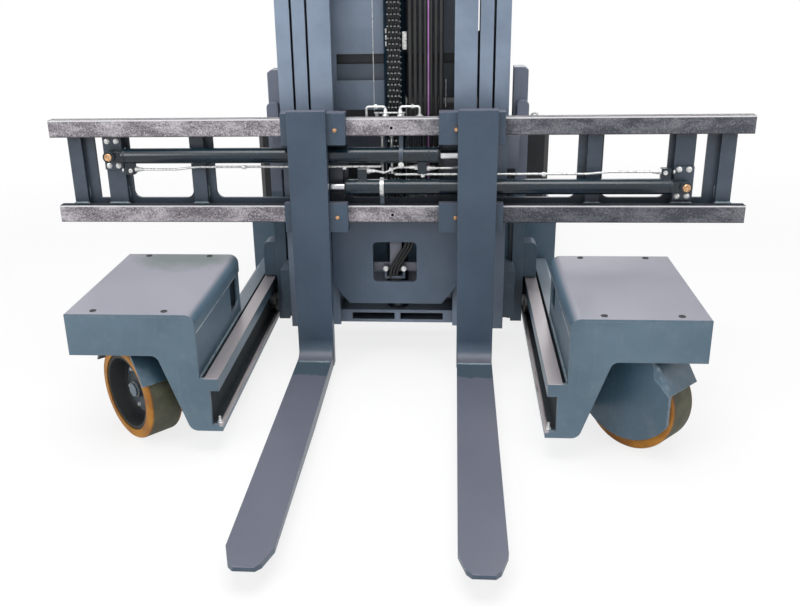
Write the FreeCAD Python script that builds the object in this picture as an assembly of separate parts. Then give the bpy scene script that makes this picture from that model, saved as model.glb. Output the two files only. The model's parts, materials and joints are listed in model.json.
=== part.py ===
import FreeCAD, Part
import math
import os

# Multi-directional reach truck, millimetres.
# Datum while modelling: x to the right, y away from the load, z up from the floor,
# with y = 0 on the front face of the fork shanks. The whole model is moved along y
# at the end, so that the origin stands under the middle of its box.

V = FreeCAD.Vector

# ---------------------------------------------------------------- overall sizes
frame_width = 2400        # fork bars, end to end
fork_length = 1250        # fork face to tip
mast_height = 2400        # closed
guard_height = 2190

# ---------------------------------------------------------------- forks
fork_thick = 42
blade_width = 124
shank_width = 134         # at the top; it narrows evenly to the heel
heel_width = 127
shank_top = 964
blade_top = 78
fork_places = {1: 292, -1: 284}     # right and left fork from the middle line, as parked
tip_thick = 14
heel_radius = 60

# ---------------------------------------------------------------- fork frame
bar_front = fork_thick + 10
bar_height = 60
bar_depth = 36
bar_top = 933             # top face of the upper bar
groove_width = 12
groove_depth = 6
slide_gap = 0.5
hook_inside = 130         # hook block, fork centre towards the middle
hook_outside = 91
hook_front = 22
hook_rise = 22            # upper block over the top bar
hook_drop = 28            # lower block under the low bar
upper_hook_height = 108
lower_hook_height = 104
rib_depth = 22
frame_back_thick = 12
window_corner = 28
ribs = ((176, 224), (668, 716), (961, 1028), (1111, 1160))
window_spans = ((-160, 160), (240, 640), (725, 945), (1027, 1071))

# ---------------------------------------------------------------- fork positioner
cylinder_radius = 27
cylinder_clear = 6        # fork shank to barrel
cylinder_y = fork_thick + cylinder_clear + cylinder_radius
cylinder_drop = 70        # upper bar's underside to the upper cylinder's axis
cylinder_pitch = 112
cylinder_rise = 62        # lower bar's top to the lower cylinder's axis
upper_cylinder_z = bar_top - bar_height - cylinder_drop
lower_cylinder_z = upper_cylinder_z - cylinder_pitch
bar_pitch = bar_top - lower_cylinder_z + cylinder_rise      # upper bar to lower bar
window_bottom = bar_top - bar_pitch + 11
window_top = bar_top - 41
positioner_rod_radius = 16
rod_clearance = 0.5
anchor_x = 997            # pin at the closed end
anchor_thick = 12
anchor_rise = 64          # bracket over and under its pin
anchor_fall = 52
eye_radius = 20.5
eye_front = 50
barrel_start = anchor_x - 44        # closed end of the barrel
cylinder_end_x = 162      # gland end, past the middle line
port_places = (-945, 88)  # left face of the oil ports at the closed end and at the gland
port_width = 32
port_reach = cylinder_pitch - 48     # from the cylinder's axis to the port's end
lug_half = 22
pipe_radius = 4
upper_pipe_z = lower_cylinder_z + port_reach + 2 * pipe_radius
lower_pipe_z = upper_cylinder_z - port_reach - pipe_radius
clamp_thick = 5           # strap round a barrel
rib_clear = 2             # barrel to rib
rib_front = cylinder_y + cylinder_radius + rib_clear
frame_back_front = rib_front + rib_depth

# ---------------------------------------------------------------- lift carriage
plate_front = frame_back_front + frame_back_thick
plate_thick = 16
plate_half = 229
plate_top = bar_top - bar_pitch - bar_height + 31
plate_bottom = plate_top - 368
carriage_top = 905
side_plate_outer = 207
side_plate_thick = 20
side_plate_back = plate_front + 162
carriage_roller_z = (330, 800)

# ---------------------------------------------------------------- mast
mast_front = plate_front + plate_thick + 21
rail_depth = 150
rail_flange = 16
rail_web = 12
rail_gap = 8
outer_rail = (351, 401)   # x of its inner and outer edge
middle_rail = (298, outer_rail[0] - rail_gap)
inner_rail = (212, middle_rail[0] - rail_gap)
inner_web_x = 245
middle_web_x = 322
mast_bottom = 120
mast_back = mast_front + rail_depth
roller_gap = 0.6
tie_thick = 15
tie_gap = 5
mast_roller_z = 210

# ---------------------------------------------------------------- lift cylinders
lift_x = 360
lift_y = mast_back + 80
lift_radius = 32
lift_rod_radius = 20
lift_barrel_top = 1750
free_x = 3
free_y = mast_front + 90
free_radius = 41
free_rod_radius = 25
free_barrel_top = 1400
chain_y = mast_front + 38
chain_width = 50
chain_thick = 14
pulley_radius = 45
pulley_z = 1590
hose_radius = 8
hose_first = 58
hose_pitch = 2 * hose_radius + 2
hose_count = 7
hose_last = hose_first + hose_pitch * (hose_count - 1)
guide_edge = 10           # from the outer hoses to the ends of what carries them

# ---------------------------------------------------------------- reach carriage
column_inner = 428
column_outer = 480
column_front = mast_back + 50
column_back = column_front + 75
column_top = 1060
column_bottom = 84
cheek_front = column_front - 30     # plate with a round top in front of each column
cheek_inner = 441
cheek_outer = 484
cheek_top = 944
reach_back = column_back + 150
track_roller_y = (column_front + 25, reach_back - 60)

# ---------------------------------------------------------------- straddle legs
leg_bottom = 78
leg_inner = 492
leg_back = 640
arm_outer = 604
foot_outer = 591          # where the front plate's lower edge turns up and out
skirt_inner = 677
track_web_x = 524
track_floor = 100
track_roof = 215
rail_top = 256
arm_top = rail_top - 6
slot_inner = 538          # deep slot between the rail bar and the rest of the arm
slot_outer = 549
slot_depth = 36
front_plate_thick = 12
wheel_radius = 156
wheel_room = 138          # tread to the arm's inner face, for the side plate as it turns
wheel_x = leg_inner + wheel_room + wheel_radius
wheel_y = -445
leg_front = wheel_y - wheel_radius + 15
mount_plate_z = 2 * wheel_radius + 80
mount_plate_thick = 16
box_inner = leg_inner + 59
box_outer = wheel_x + wheel_radius + 5
box_back = 5
box_top = mount_plate_z + 71
skirt_bottom = mount_plate_z - 63
cover_thick = 8
cover_radius = 30
cover_lip = mount_plate_z + 8       # lower edge of the cover's inner drop
lip_step = 4              # the wheel box's inner side stands this much inside the lip
recess_depth = 32

# ---------------------------------------------------------------- load wheels
wheel_width = 130
hood_clear = 16.5         # tread to the hood's slanting sides
tyre_thick = 30
tyre_gap = 0.3
parked_angle = -43        # turn from the sideways position, about the upright
kingpin_radius = 30
axle_radius = 22
axle_end = 34             # from the wheel's middle, away from the side plate
running_fit = 0.05
carrier_gap = 7
carrier_plate = 12
carrier_sheet = 7
hub_depth = 25            # hub plate in from the rim's face

# ---------------------------------------------------------------- chassis
body_half = 598
frame_front = leg_back
frame_half = 636
frame_bottom = 130
deck_z = 430
frame_wall = 15
rear_corner = 190
battery_front = frame_front + 50
battery_length = 350
cabin_length = 580        # battery to motor hood
hood_length = 330
battery_back = battery_front + battery_length
hood_front = battery_back + cabin_length
truck_back = hood_front + hood_length
battery_top = 770
drive_radius = 180
drive_y = truck_back - drive_radius - 30
drive_width = 110
drive_tyre_thick = 38
motor_radius = 100
panel_top = 620
panel_thick = 25
hood_half = 380
hood_top = 980
post_inner = 400
post_outer = 440
post_depth = 42
front_post_y = battery_back + 4
reach_cylinder_z = 190
reach_cylinder_radius = 35
reach_rod_radius = 18

nodes = {}


# ---------------------------------------------------------------- helpers
def box(x0, x1, y0, y1, z0, z1):
    return Part.makeBox(x1 - x0, y1 - y0, z1 - z0, V(x0, y0, z0))


def cylinder(radius, start, end):
    along = end - start
    return Part.makeCylinder(radius, along.Length, start, along)


def on_plane(plane, a, b, level):
    if plane == "xz":
        return V(a, level, b)
    if plane == "yz":
        return V(level, a, b)
    return V(a, b, level)


def outline(points, plane, level):
    """Closed wire; a point with a third number is rounded to that radius."""
    count = len(points)
    corners = []
    for i, point in enumerate(points):
        here = on_plane(plane, point[0], point[1], level)
        radius = point[2] if len(point) > 2 else 0
        if not radius:
            corners.append((here, None, here))
            continue
        before = on_plane(plane, points[i - 1][0], points[i - 1][1], level) - here
        after_point = points[(i + 1) % count]
        after = on_plane(plane, after_point[0], after_point[1], level) - here
        before.normalize()
        after.normalize()
        half = before.getAngle(after) / 2
        bisector = before + after
        bisector.normalize()
        middle = here + bisector * (radius / math.sin(half) - radius)
        run = radius / math.tan(half)
        corners.append((here + before * run, middle, here + after * run))
    edges = []
    for i, (start, middle, end) in enumerate(corners):
        if middle is not None:
            edges.append(Part.Arc(start, middle, end).toShape())
        next_start = corners[(i + 1) % count][0]
        if (next_start - end).Length > 1e-6:
            edges.append(Part.makeLine(end, next_start))
    return Part.Wire(edges)


def prism(points, plane, start, end):
    face = Part.Face(outline(points, plane, start))
    along = on_plane(plane, 0, 0, end) - on_plane(plane, 0, 0, start)
    return face.extrude(along)


def rectangle(a0, a1, b0, b1, radius=0):
    corners = ((a0, b0), (a1, b0), (a1, b1), (a0, b1))
    return [(a, b, radius) if radius else (a, b) for a, b in corners]


def join(shapes):
    first, rest = shapes[0], shapes[1:]
    return first.multiFuse(rest).removeSplitter() if rest else first


def mirrored(shape):
    return shape.mirror(V(0, 0, 0), V(1, 0, 0))


def both_sides(shape):
    return [shape, mirrored(shape)]


def group(shapes):
    return Part.makeCompound(shapes)


# ---------------------------------------------------------------- straddle legs
def leg_outline():
    """Front view of the right leg's plate, from the inner foot round."""
    return [
        (leg_inner, leg_bottom),
        (foot_outer, leg_bottom, 30),
        (skirt_inner, skirt_bottom, 25),
        (box_outer, skirt_bottom),
        (box_outer, box_top - cover_thick),
        (box_inner, box_top - cover_thick, cover_radius - cover_thick),
        (box_inner, rail_top),
        (track_web_x - 30, rail_top),
        (track_web_x - 30, track_roof),
        (track_web_x, track_roof),
        (track_web_x, track_floor),
        (leg_inner, track_floor),
    ]


def arm_outline():
    """Section of the arm behind the plate: a rail bar over an inward channel, and a box outside it."""
    return [
        (leg_inner, leg_bottom),
        (arm_outer - 8, leg_bottom, 18),
        (arm_outer, arm_top, 12),
        (slot_outer, arm_top),
        (slot_outer, rail_top - slot_depth),
        (slot_inner, rail_top - slot_depth),
        (slot_inner, rail_top),
        (track_web_x - 30, rail_top),
        (track_web_x - 30, track_roof),
        (track_web_x, track_roof),
        (track_web_x, track_floor),
        (leg_inner, track_floor),
    ]


def right_leg():
    plate_back = leg_front + front_plate_thick
    front = prism(leg_outline(), "xz", leg_front, plate_back)
    arm = prism(arm_outline(), "xz", plate_back, leg_back)
    under_cover = box_top - cover_thick
    inner_face = box_inner + lip_step
    wall = cover_thick
    inner_wall = box(inner_face, inner_face + wall, plate_back, box_back, arm_top, cover_lip)
    hole = prism(rectangle(-130, -30, 290, 395, 20), "yz", inner_face - 1, inner_face + wall + 1)
    pocket_out = inner_face + wall + recess_depth
    pocket = box(inner_face + wall - 1, pocket_out + wall, -150, -10, 270, mount_plate_z + 1)
    pocket = pocket.cut(box(inner_face, pocket_out, -150 + wall, -10 - wall, 270 + wall, mount_plate_z + 2))
    outer_wall = box(box_outer - wall, box_outer, plate_back, box_back, skirt_bottom, under_cover)
    rear_corner_x = box_inner + cover_thick
    rear_outline = [(rear_corner_x, skirt_bottom), (box_outer, skirt_bottom), (box_outer, under_cover),
                    (rear_corner_x, under_cover, cover_radius)]
    rear_wall = prism(rear_outline, "xz", box_back - wall, box_back)
    mount_top = mount_plate_z + mount_plate_thick
    mount = box(inner_face + wall, box_outer, plate_back, box_back, mount_plate_z, mount_top)
    leg = join([front, arm, inner_wall.cut(hole), pocket, outer_wall, rear_wall, mount])
    bore = cylinder(kingpin_radius + running_fit, V(wheel_x, wheel_y, mount_plate_z - 1),
                    V(wheel_x, wheel_y, mount_plate_z + mount_plate_thick + 1))
    return leg.cut(bore)


def right_leg_cover():
    """Bent sheet: flat top, rolled inner edge, short drop down the inner side."""
    under = box_top - cover_thick
    sheet = [
        (box_outer, box_top, 4),
        (box_inner, box_top, cover_radius),
        (box_inner, cover_lip),
        (box_inner + cover_thick, cover_lip),
        (box_inner + cover_thick, under, cover_radius - cover_thick),
        (box_outer, under),
    ]
    cover = prism(sheet, "xz", leg_front, box_back)
    front_plate = prism(leg_outline(), "xz", leg_front - 1, leg_front + front_plate_thick)
    return cover.cut(front_plate)


# ---------------------------------------------------------------- load wheels
def place_wheel(shape, side):
    """Local frame: axle along y, plate towards -y; the left unit is its mirror image."""
    if side < 0:
        shape = shape.mirror(V(0, 0, 0), V(0, 1, 0))
    shape.translate(V(side * wheel_x, wheel_y, 0))
    shape.rotate(V(side * wheel_x, wheel_y, 0), V(0, 0, 1), parked_angle)
    return shape


def wheel_carrier():
    """Side plate shaped like a cut disc, with a folded hood over the tread and a turntable."""
    c = wheel_radius
    plate_in = -(wheel_width / 2 + carrier_gap)
    plate_out = plate_in - carrier_plate
    edge_x = wheel_radius - 4
    hood_height = wheel_radius + 12
    slant = (wheel_radius + hood_clear) * math.sqrt(0.5)
    brow = [(edge_x, 74), (slant - 22, slant - 7), (92, hood_height - 4)]
    hood = [(edge_x, 74), (slant, slant), (88, hood_height)]

    def closed(half, y, scale=1):
        right = [(x * scale, c + z * scale) for x, z in half]
        return outline(right + [(-x, z) for x, z in reversed(right)], "xz", y)

    edge_z = c - 24
    low_arc = Part.Arc(V(edge_x, plate_out, edge_z), V(0, plate_out, 44), V(-edge_x, plate_out, edge_z))
    left_brow = [V(-x, plate_out, c + z) for x, z in brow]
    right_brow = [V(x, plate_out, c + z) for x, z in reversed(brow)]
    rim = [V(-edge_x, plate_out, edge_z)] + left_brow + right_brow + [V(edge_x, plate_out, edge_z)]
    lines = [Part.makeLine(a, b) for a, b in zip(rim, rim[1:])]
    plate = Part.Face(Part.Wire([low_arc.toShape()] + lines)).extrude(V(0, carrier_plate, 0))
    fold = plate_out + 18
    nose = Part.makeLoft([closed(brow, plate_out), closed(hood, fold)], True, True)
    shell = Part.Face(closed(hood, fold)).extrude(V(0, -plate_in - fold, 0))
    room = Part.Face(closed(hood, plate_in, 1 - carrier_sheet / hood_height))
    hood_solid = join([nose, shell]).cut(room.extrude(V(0, 1 - 2 * plate_in, 0)))
    pedestal = cylinder(90, V(0, 0, c + hood_height - 4), V(0, 0, mount_plate_z - 0.3))
    pin_top = mount_plate_z + mount_plate_thick + 10
    kingpin = cylinder(kingpin_radius, V(0, 0, mount_plate_z - 1), V(0, 0, pin_top))
    axle = cylinder(axle_radius, V(0, plate_in, c), V(0, axle_end, c))
    return join([plate, hood_solid, pedestal, kingpin, axle])


def load_tyre():
    r = wheel_radius
    half = wheel_width / 2
    profile = [(r - tyre_thick, -half), (r - 7, -half), (r, -half + 7), (r, half - 7), (r - 7, half),
               (r - tyre_thick, half)]
    return revolve_about_axle(profile, wheel_radius)


def load_hub():
    """Solid cast wheel body: rim round a flat face that lies deeper and closes over the axle's end."""
    r = wheel_radius - tyre_thick - tyre_gap
    half = wheel_width / 2 - 3
    face = half - hub_depth
    bore = axle_radius + running_fit
    profile = [(r, -half), (r, half), (r - 13, half), (r - 13, face), (0, face), (0, axle_end + 0.5),
               (bore, axle_end + 0.5), (bore, -half)]
    return revolve_about_axle(profile, wheel_radius)


def revolve_about_axle(profile, centre_z):
    """Profile points are (radius, y), turned about an axle along y at that height."""
    flat = Part.Face(outline(profile, "xy", 0))
    solid = flat.revolve(V(0, 0, 0), V(0, 1, 0), 360)
    solid.translate(V(0, 0, centre_z))
    return solid


def drive_wheel():
    half = drive_width / 2
    r = drive_radius
    inside = r - drive_tyre_thick
    tyre = revolve_about_axle([(inside, -half), (r, -half), (r, half), (inside, half)], r)
    rim = inside - tyre_gap
    bore = axle_radius + running_fit
    side = half - 4
    hub = revolve_about_axle([(bore, -8), (rim - 14, -8), (rim - 14, -side), (rim, -side), (rim, side),
                              (rim - 14, side), (rim - 14, 12), (bore, 12)], r)
    for shape in (tyre, hub):
        shape.rotate(V(0, 0, 0), V(0, 0, 1), 90)
        shape.translate(V(0, drive_y, 0))
    return tyre, hub


def drive_unit():
    """Gear leg beside the wheel, turntable under the deck, motor standing above it."""
    gear_outline = [(drive_y - 70, 120, 60), (drive_y + 70, 120, 60), (drive_y + 95, deck_z - 40),
                    (drive_y - 95, deck_z - 40)]
    gear = prism(gear_outline, "yz", 62, 122)
    stub = cylinder(40, V(8.3, drive_y, drive_radius), V(64, drive_y, drive_radius))
    axle = cylinder(axle_radius, V(-20, drive_y, drive_radius), V(9, drive_y, drive_radius))
    turntable = cylinder(170, V(0, drive_y, deck_z - 58), V(0, drive_y, deck_z - frame_wall - 0.3))
    motor = cylinder(motor_radius, V(0, drive_y, deck_z - 40), V(0, drive_y, deck_z + 350))
    return join([gear, stub, axle, turntable, motor])


# ---------------------------------------------------------------- chassis
def body_outline(half, front, back, corner):
    return [(-half, front), (half, front), (half, back, corner), (-half, back, corner)]


def main_frame():
    outer = prism(body_outline(frame_half, frame_front, truck_back, rear_corner), "xy", frame_bottom, deck_z)
    inner_outline = body_outline(frame_half - frame_wall, frame_front + frame_wall, truck_back - frame_wall,
                                 rear_corner - frame_wall)
    inner = prism(inner_outline, "xy", frame_bottom - 1, deck_z - frame_wall)
    motor_hole = cylinder(motor_radius + 8, V(0, drive_y, deck_z - frame_wall - 1), V(0, drive_y, deck_z + 1))
    barrel_hole = cylinder(reach_cylinder_radius + 6, V(0, frame_front - 1, reach_cylinder_z),
                           V(0, frame_front + frame_wall + 1, reach_cylinder_z))
    shell = outer.cut(group([inner, motor_hole, barrel_hole]))
    top = deck_z - frame_wall
    inside = frame_half - frame_wall
    beams = [box(-inside, inside, y, y + 12, 250, top) for y in (1060, 1440)]
    trunnion = box(-60, 60, 1385, 1440, reach_cylinder_z - 30, 262)
    return join([shell] + beams + [trunnion])


def battery():
    half = body_half
    corner = 18
    plan = [(-half, battery_front + corner), (-half + corner, battery_front), (half - corner, battery_front),
            (half, battery_front + corner), (half, battery_back), (-half, battery_back)]
    return prism(plan, "xy", deck_z, battery_top)


def rear_body():
    front = battery_back
    outer = prism(body_outline(body_half, front, truck_back - 12, rear_corner - 20), "xy", deck_z, panel_top)
    inner = prism(body_outline(body_half - panel_thick, front - 1, truck_back - 12 - panel_thick,
                               rear_corner - 20 - panel_thick), "xy", deck_z - 1, panel_top + 1)
    wall = outer.cut(inner)
    entry = rectangle(front + 60, hood_front - 40, deck_z - 1, panel_top + 1)
    doorway = prism(entry, "yz", body_half - panel_thick - 5, body_half + 5)
    return wall.cut(doorway)


def motor_hood():
    back = truck_back - 12 - panel_thick
    side = [(hood_front, deck_z), (hood_front, hood_top, 70), (back - 60, hood_top, 90),
            (back, panel_top, 40), (back, deck_z)]
    outer = prism(side, "yz", -hood_half, hood_half)
    wall = 14
    inside = [(hood_front + wall, deck_z - 1), (hood_front + wall, hood_top - wall, 58),
              (back - 60 - wall, hood_top - wall, 78), (back - wall, panel_top - 5, 30),
              (back - wall, deck_z - 1)]
    inner = prism(inside, "yz", -hood_half + wall, hood_half - wall)
    return outer.cut(inner)


def overhead_guard():
    rear_post_y = truck_back - 12 - panel_thick - post_depth - 2
    roof_front = front_post_y
    roof_back = rear_post_y + post_depth
    posts = []
    for y in (front_post_y, rear_post_y):
        posts += both_sides(box(post_inner, post_outer, y, y + post_depth, deck_z, guard_height - 20))
    rails = both_sides(box(post_inner, post_outer, roof_front, roof_back, guard_height - 40, guard_height))
    ends = [box(-post_outer, post_outer, y, y + post_depth, guard_height - 40, guard_height)
            for y in (roof_front, roof_back - post_depth)]
    count = 6
    pitch = (post_inner * 2) / (count + 1)
    bars = [box(-post_inner + pitch * (i + 1) - 7, -post_inner + pitch * (i + 1) + 7, roof_front, roof_back,
                guard_height - 36, guard_height - 8) for i in range(count)]
    return join(posts + rails + ends + bars)


def seat_parts():
    middle = (battery_back + hood_front) / 2
    base = prism([(-400, deck_z, 0.1), (40, deck_z, 0.1), (20, deck_z + 380), (-380, deck_z + 380)], "xz",
                 middle - 200, middle + 200)
    cushion_z = deck_z + 380.3
    bracket = [box(-470, -370, middle - 60, middle + 60, deck_z + 364, deck_z + 380),
               box(-470, -445, middle - 60, middle + 60, deck_z + 364, cushion_z + 59.7)]
    base = join([base] + bracket)
    cushion = prism(rectangle(-390, 90, cushion_z, cushion_z + 90, 28), "xz", middle - 230, middle + 230)
    low, high, foot = cushion_z + 60, cushion_z + 560, -400.5
    side = [(foot, low, 20), (foot - 60, high, 28), (foot - 130, high, 28), (foot - 85, low, 20)]
    half = cabin_length / 2 - post_depth - 28
    back = prism(side, "xz", middle - half, middle + half)
    return base, cushion, back


def console():
    """Control desk on the battery's cab side, sloped towards the driver's right hand."""
    desk = prism([(battery_back - 150, battery_top), (battery_back - 150, battery_top + 90, 20),
                  (battery_back - 90, battery_top + 220, 25), (battery_back - 40, battery_top + 220, 15),
                  (battery_back, battery_top + 60, 15), (battery_back, battery_top)], "yz", -300, 330)
    return desk


def steering_wheel():
    centre = V(180, hood_front + 110, hood_top)
    column = cylinder(26, centre, centre + V(0, 0, 60))
    rim_base = centre + V(0, 0, 62)
    rim = cylinder(122, rim_base, rim_base + V(0, 0, 20)).cut(cylinder(98, rim_base, rim_base + V(0, 0, 20)))
    spokes = box(centre.x - 110, centre.x + 110, centre.y - 12, centre.y + 12, centre.z + 60, centre.z + 74)
    knob = cylinder(18, centre + V(110, 0, 70), centre + V(110, 0, 118))
    return join([column, rim, knob, spokes])


def reach_cylinder():
    start = V(0, frame_front + 10, reach_cylinder_z)
    end = V(0, 1385, reach_cylinder_z)
    barrel = cylinder(reach_cylinder_radius, start, end)
    return barrel.cut(cylinder(reach_rod_radius + rod_clearance, start - V(0, 1, 0), end - V(0, 20, 0)))


# ---------------------------------------------------------------- reach carriage
def reach_frame():
    column = [(column_inner, column_bottom), (column_outer, column_bottom), (column_outer, column_top - 10),
              (column_outer - 14, column_top), (column_inner, column_top)]
    post = prism(column, "xz", column_front, column_back)
    cheek = prism([(cheek_inner, column_bottom), (cheek_outer, column_bottom), (cheek_outer, cheek_top, 18),
                   (cheek_inner, cheek_top, 12)], "xz", cheek_front, column_front)
    arm = box(cheek_inner, cheek_outer, column_back, reach_back, column_bottom, 240)
    guide_outer, guide_top = 536, rail_top + 5
    block = [(cheek_outer, 400), (cheek_outer, guide_top), (guide_outer, guide_top), (guide_outer, 402, 24)]
    guide = prism(block, "xz", 366, 440)
    bracket_low = box(outer_rail[1], column_inner, 230, column_front + 20, 150, 330)
    bracket_high = box(outer_rail[1], column_inner, 230, column_front + 20, 720, 840)
    link = [box(column_inner, cheek_inner + 5, 230, column_front, low, high)
            for low, high in ((150, 330), (720, 840))]
    half = [post, cheek, arm, guide, bracket_low, bracket_high] + link
    pieces = []
    for piece in half:
        pieces += both_sides(piece)
    cross_front = box(-column_inner, column_inner, 380, 440, column_bottom, 118)
    cross_back = box(-cheek_inner, cheek_inner, reach_back - 40, reach_back, column_bottom, 235)
    cross_top = box(-column_outer, column_outer, column_back - 8, column_back + 14, 760, 860)
    return join(pieces + [cross_front, cross_back, cross_top])


def reach_rollers():
    middle = (track_floor + track_roof) / 2
    radius = (track_roof - track_floor) / 2 - roller_gap
    rollers = []
    for y in track_roller_y:
        rollers += roller_pair(leg_inner + 4, track_web_x - 5, cheek_outer, y, middle, radius)
    return group(rollers)


def reach_rod():
    start = V(0, reach_back, reach_cylinder_z)
    return cylinder(reach_rod_radius, start, start + V(0, 730, 0))


# ---------------------------------------------------------------- mast
def rail(x_range, web_x, bottom, top):
    """Rolled mast section: two flanges and a web, as a channel or an I by where the web is."""
    x0, x1 = x_range
    y0, y1 = mast_front, mast_back
    flanges = [box(x0, x1, y0, y0 + rail_flange, bottom, top), box(x0, x1, y1 - rail_flange, y1, bottom, top)]
    web = box(web_x, web_x + rail_web, y0, y1, bottom, top)
    return join(flanges + [web])


def tie(half, front, bottom, top):
    return box(-half, half, front, front + tie_thick, bottom, top)


def outer_mast():
    top = mast_height - 35
    rails = both_sides(rail(outer_rail, outer_rail[1] - rail_web, mast_bottom, top))
    front = mast_back + tie_gap * 2 + tie_thick
    levels = ((150, 300), (1070, 1190), (top - 160, top - 20))
    ties = [tie(outer_rail[1], front, z0, z1) for z0, z1 in levels]
    pads = []
    for z0, z1 in levels:
        pads += both_sides(box(outer_rail[0], outer_rail[1], mast_back, front, z0, z1))
    foot = join([box(outer_rail[0], outer_rail[1], mast_back - 20, front + 2, mast_bottom, mast_bottom + 20),
                 box(lift_x - 36, outer_rail[1], front, lift_y + 36, mast_bottom, mast_bottom + 20)])
    feet = both_sides(foot)
    return join(rails + ties + pads + feet)


def middle_mast():
    top = mast_height - 15
    rails = both_sides(rail(middle_rail, middle_web_x, mast_bottom + 5, top))
    front = mast_back + tie_gap
    levels = ((150, 280), (960, 1083), (top - 130, top))
    ties = [tie(middle_rail[1], front, z0, z1) for z0, z1 in levels]
    pads = []
    for z0, z1 in levels:
        pads += both_sides(box(middle_rail[0], middle_rail[1], mast_back, front, z0, z1))
    head = both_sides(box(lift_x - 40, lift_x + 32, front, lift_y + 30, top - 18, top))
    return join(rails + ties + pads + head)


def inner_mast():
    top = mast_height
    rails = both_sides(rail(inner_rail, inner_web_x, mast_bottom + 10, top))
    back = mast_back - rail_flange
    half = inner_rail[0] + 5
    levels = ((182, 300), (1119, 1330), (top - 150, top))
    ties = [box(-half, half, back, mast_back, low, high) for low, high in levels]
    ties.append(box(-half, free_x - chain_width / 2, back, mast_back, 922, 1026))
    foot = box(-half, half, 200, mast_back, 132, 182)
    slots = [box(x0, x1, 199, mast_back + 1, 144, 170) for x0, x1 in ((-170, -8), (14, 176))]
    return join(rails + ties + [foot]).cut(group(slots))


def roller_pair(x0, x1, stub_x, y, z, radius):
    """Roller on a six-sided boss that stands on the piece beside it, on both sides of the truck."""
    roller = cylinder(radius, V(x0, y, z), V(x1, y, z))
    boss = Part.Face(hexagon(V(stub_x, y, z), 26, "x")).extrude(V(x0 + 1 - stub_x, 0, 0))
    return both_sides(join([roller, boss]))


def mast_rollers():
    y = (mast_front + mast_back) / 2
    radius = rail_depth / 2 - rail_flange - roller_gap
    middle = roller_pair(outer_rail[0] + 4, outer_rail[1] - rail_web - 5, middle_web_x + rail_web, y,
                         mast_roller_z, radius)
    inner = roller_pair(middle_rail[0] + 3, middle_web_x - 5, inner_web_x + rail_web, y,
                        mast_roller_z, radius)
    carriage = []
    for z in carriage_roller_z:
        carriage += roller_pair(inner_rail[0] + 3, inner_web_x - 5, side_plate_outer, y, z, radius)
    return group(middle), group(inner), group(carriage)


def lift_cylinders():
    start = V(lift_x, lift_y, mast_bottom + 20)
    barrel = cylinder(lift_radius, start, V(lift_x, lift_y, lift_barrel_top))
    bore_end = V(lift_x, lift_y, lift_barrel_top + 1)
    bore = cylinder(lift_rod_radius + rod_clearance, start + V(0, 0, 20), bore_end)
    rod = cylinder(lift_rod_radius, V(lift_x, lift_y, 200), V(lift_x, lift_y, mast_height - 33))
    return group(both_sides(barrel.cut(bore))), group(both_sides(rod))


def free_lift_parts():
    start = V(free_x, free_y, 182)
    top = V(free_x, free_y, free_barrel_top)
    barrel = cylinder(free_radius, start, top)
    barrel = barrel.cut(cylinder(free_rod_radius + rod_clearance, start + V(0, 0, 25), top + V(0, 0, 1)))
    rod = cylinder(free_rod_radius, V(free_x, free_y, 300), V(free_x, free_y, pulley_z - 90))
    roller_end = hose_last + guide_edge
    head = box(free_x - 45, roller_end + 4, free_y - 30, free_y + 30, pulley_z - 92, pulley_z - 62)
    pulley_y = chain_y + pulley_radius
    cheeks = [box(x, x + 6, pulley_y - 24, pulley_y + 24, pulley_z - 63, pulley_z + 22)
              for x in (free_x - 44, roller_end - 2)]
    pulley = cylinder(pulley_radius - chain_thick / 2 - tyre_gap, V(free_x - 40, pulley_y, pulley_z),
                      V(roller_end, pulley_y, pulley_z))
    return barrel, join([rod, head, pulley] + cheeks)


def lift_chain():
    return box(free_x - chain_width / 2, free_x + chain_width / 2, chain_y - chain_thick / 2,
               chain_y + chain_thick / 2, 620, pulley_z)


def hexagon(middle, across, along):
    """Six-sided wire round a point, square to the x or the z direction."""
    wire = []
    for i in range(7):
        a = across * math.cos(math.pi * i / 3)
        b = across * math.sin(math.pi * i / 3)
        wire.append(middle + (V(0, a, b) if along == "x" else V(a, b, 0)))
    return Part.makePolygon(wire)


def mast_hoses():
    """Flat-sided stand for the round hoses, with a face to the front of each."""
    hoses = []
    for i in range(hose_count):
        ring = hexagon(V(hose_first + hose_pitch * i, chain_y, 620), hose_radius, "z")
        hoses.append(Part.Face(ring).extrude(V(0, 0, pulley_z - 620)))
    return group(hoses)


# ---------------------------------------------------------------- lift carriage
def fork_bars():
    half = frame_width / 2
    middle = bar_front + bar_depth / 2
    bars = []
    low_top = bar_top - bar_pitch
    for top, groove_z in ((bar_top, bar_top - groove_depth), (low_top, low_top - bar_height)):
        bar = box(-half, half, bar_front, bar_front + bar_depth, top - bar_height, top)
        groove = box(-half - 1, half + 1, middle - groove_width / 2, middle + groove_width / 2, groove_z,
                     groove_z + groove_depth)
        bars.append(bar.cut(groove))
    return group(bars)


def fork_frame():
    """Plate with round-cornered windows behind the bars, ribs in front of it, flanges to the bars."""
    half = frame_width / 2 - 32
    back = frame_back_front + frame_back_thick
    low = bar_top - bar_pitch - bar_height + 6
    plate = box(-half, half, frame_back_front, back, low, bar_top - 8)
    windows = []
    for x0, x1 in window_spans:
        corner = window_corner if x1 - x0 > 3 * window_corner else 0
        hole = rectangle(x0, x1, window_bottom, window_top, corner)
        hole = prism(hole, "xz", frame_back_front - 1, back + 1)
        windows += [hole] if x0 < 0 else both_sides(hole)
    plate = plate.cut(group(windows))
    bar_back = bar_front + bar_depth
    flanges = [box(-half, half, bar_back, frame_back_front, top - 48, top - 12)
               for top in (bar_top, bar_top - bar_pitch)]
    uprights = []
    for x0, x1 in ribs:
        uprights += both_sides(box(x0, x1, rib_front, frame_back_front, window_bottom - 25, bar_top - 30))
    return join([plate] + flanges + uprights)


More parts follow.
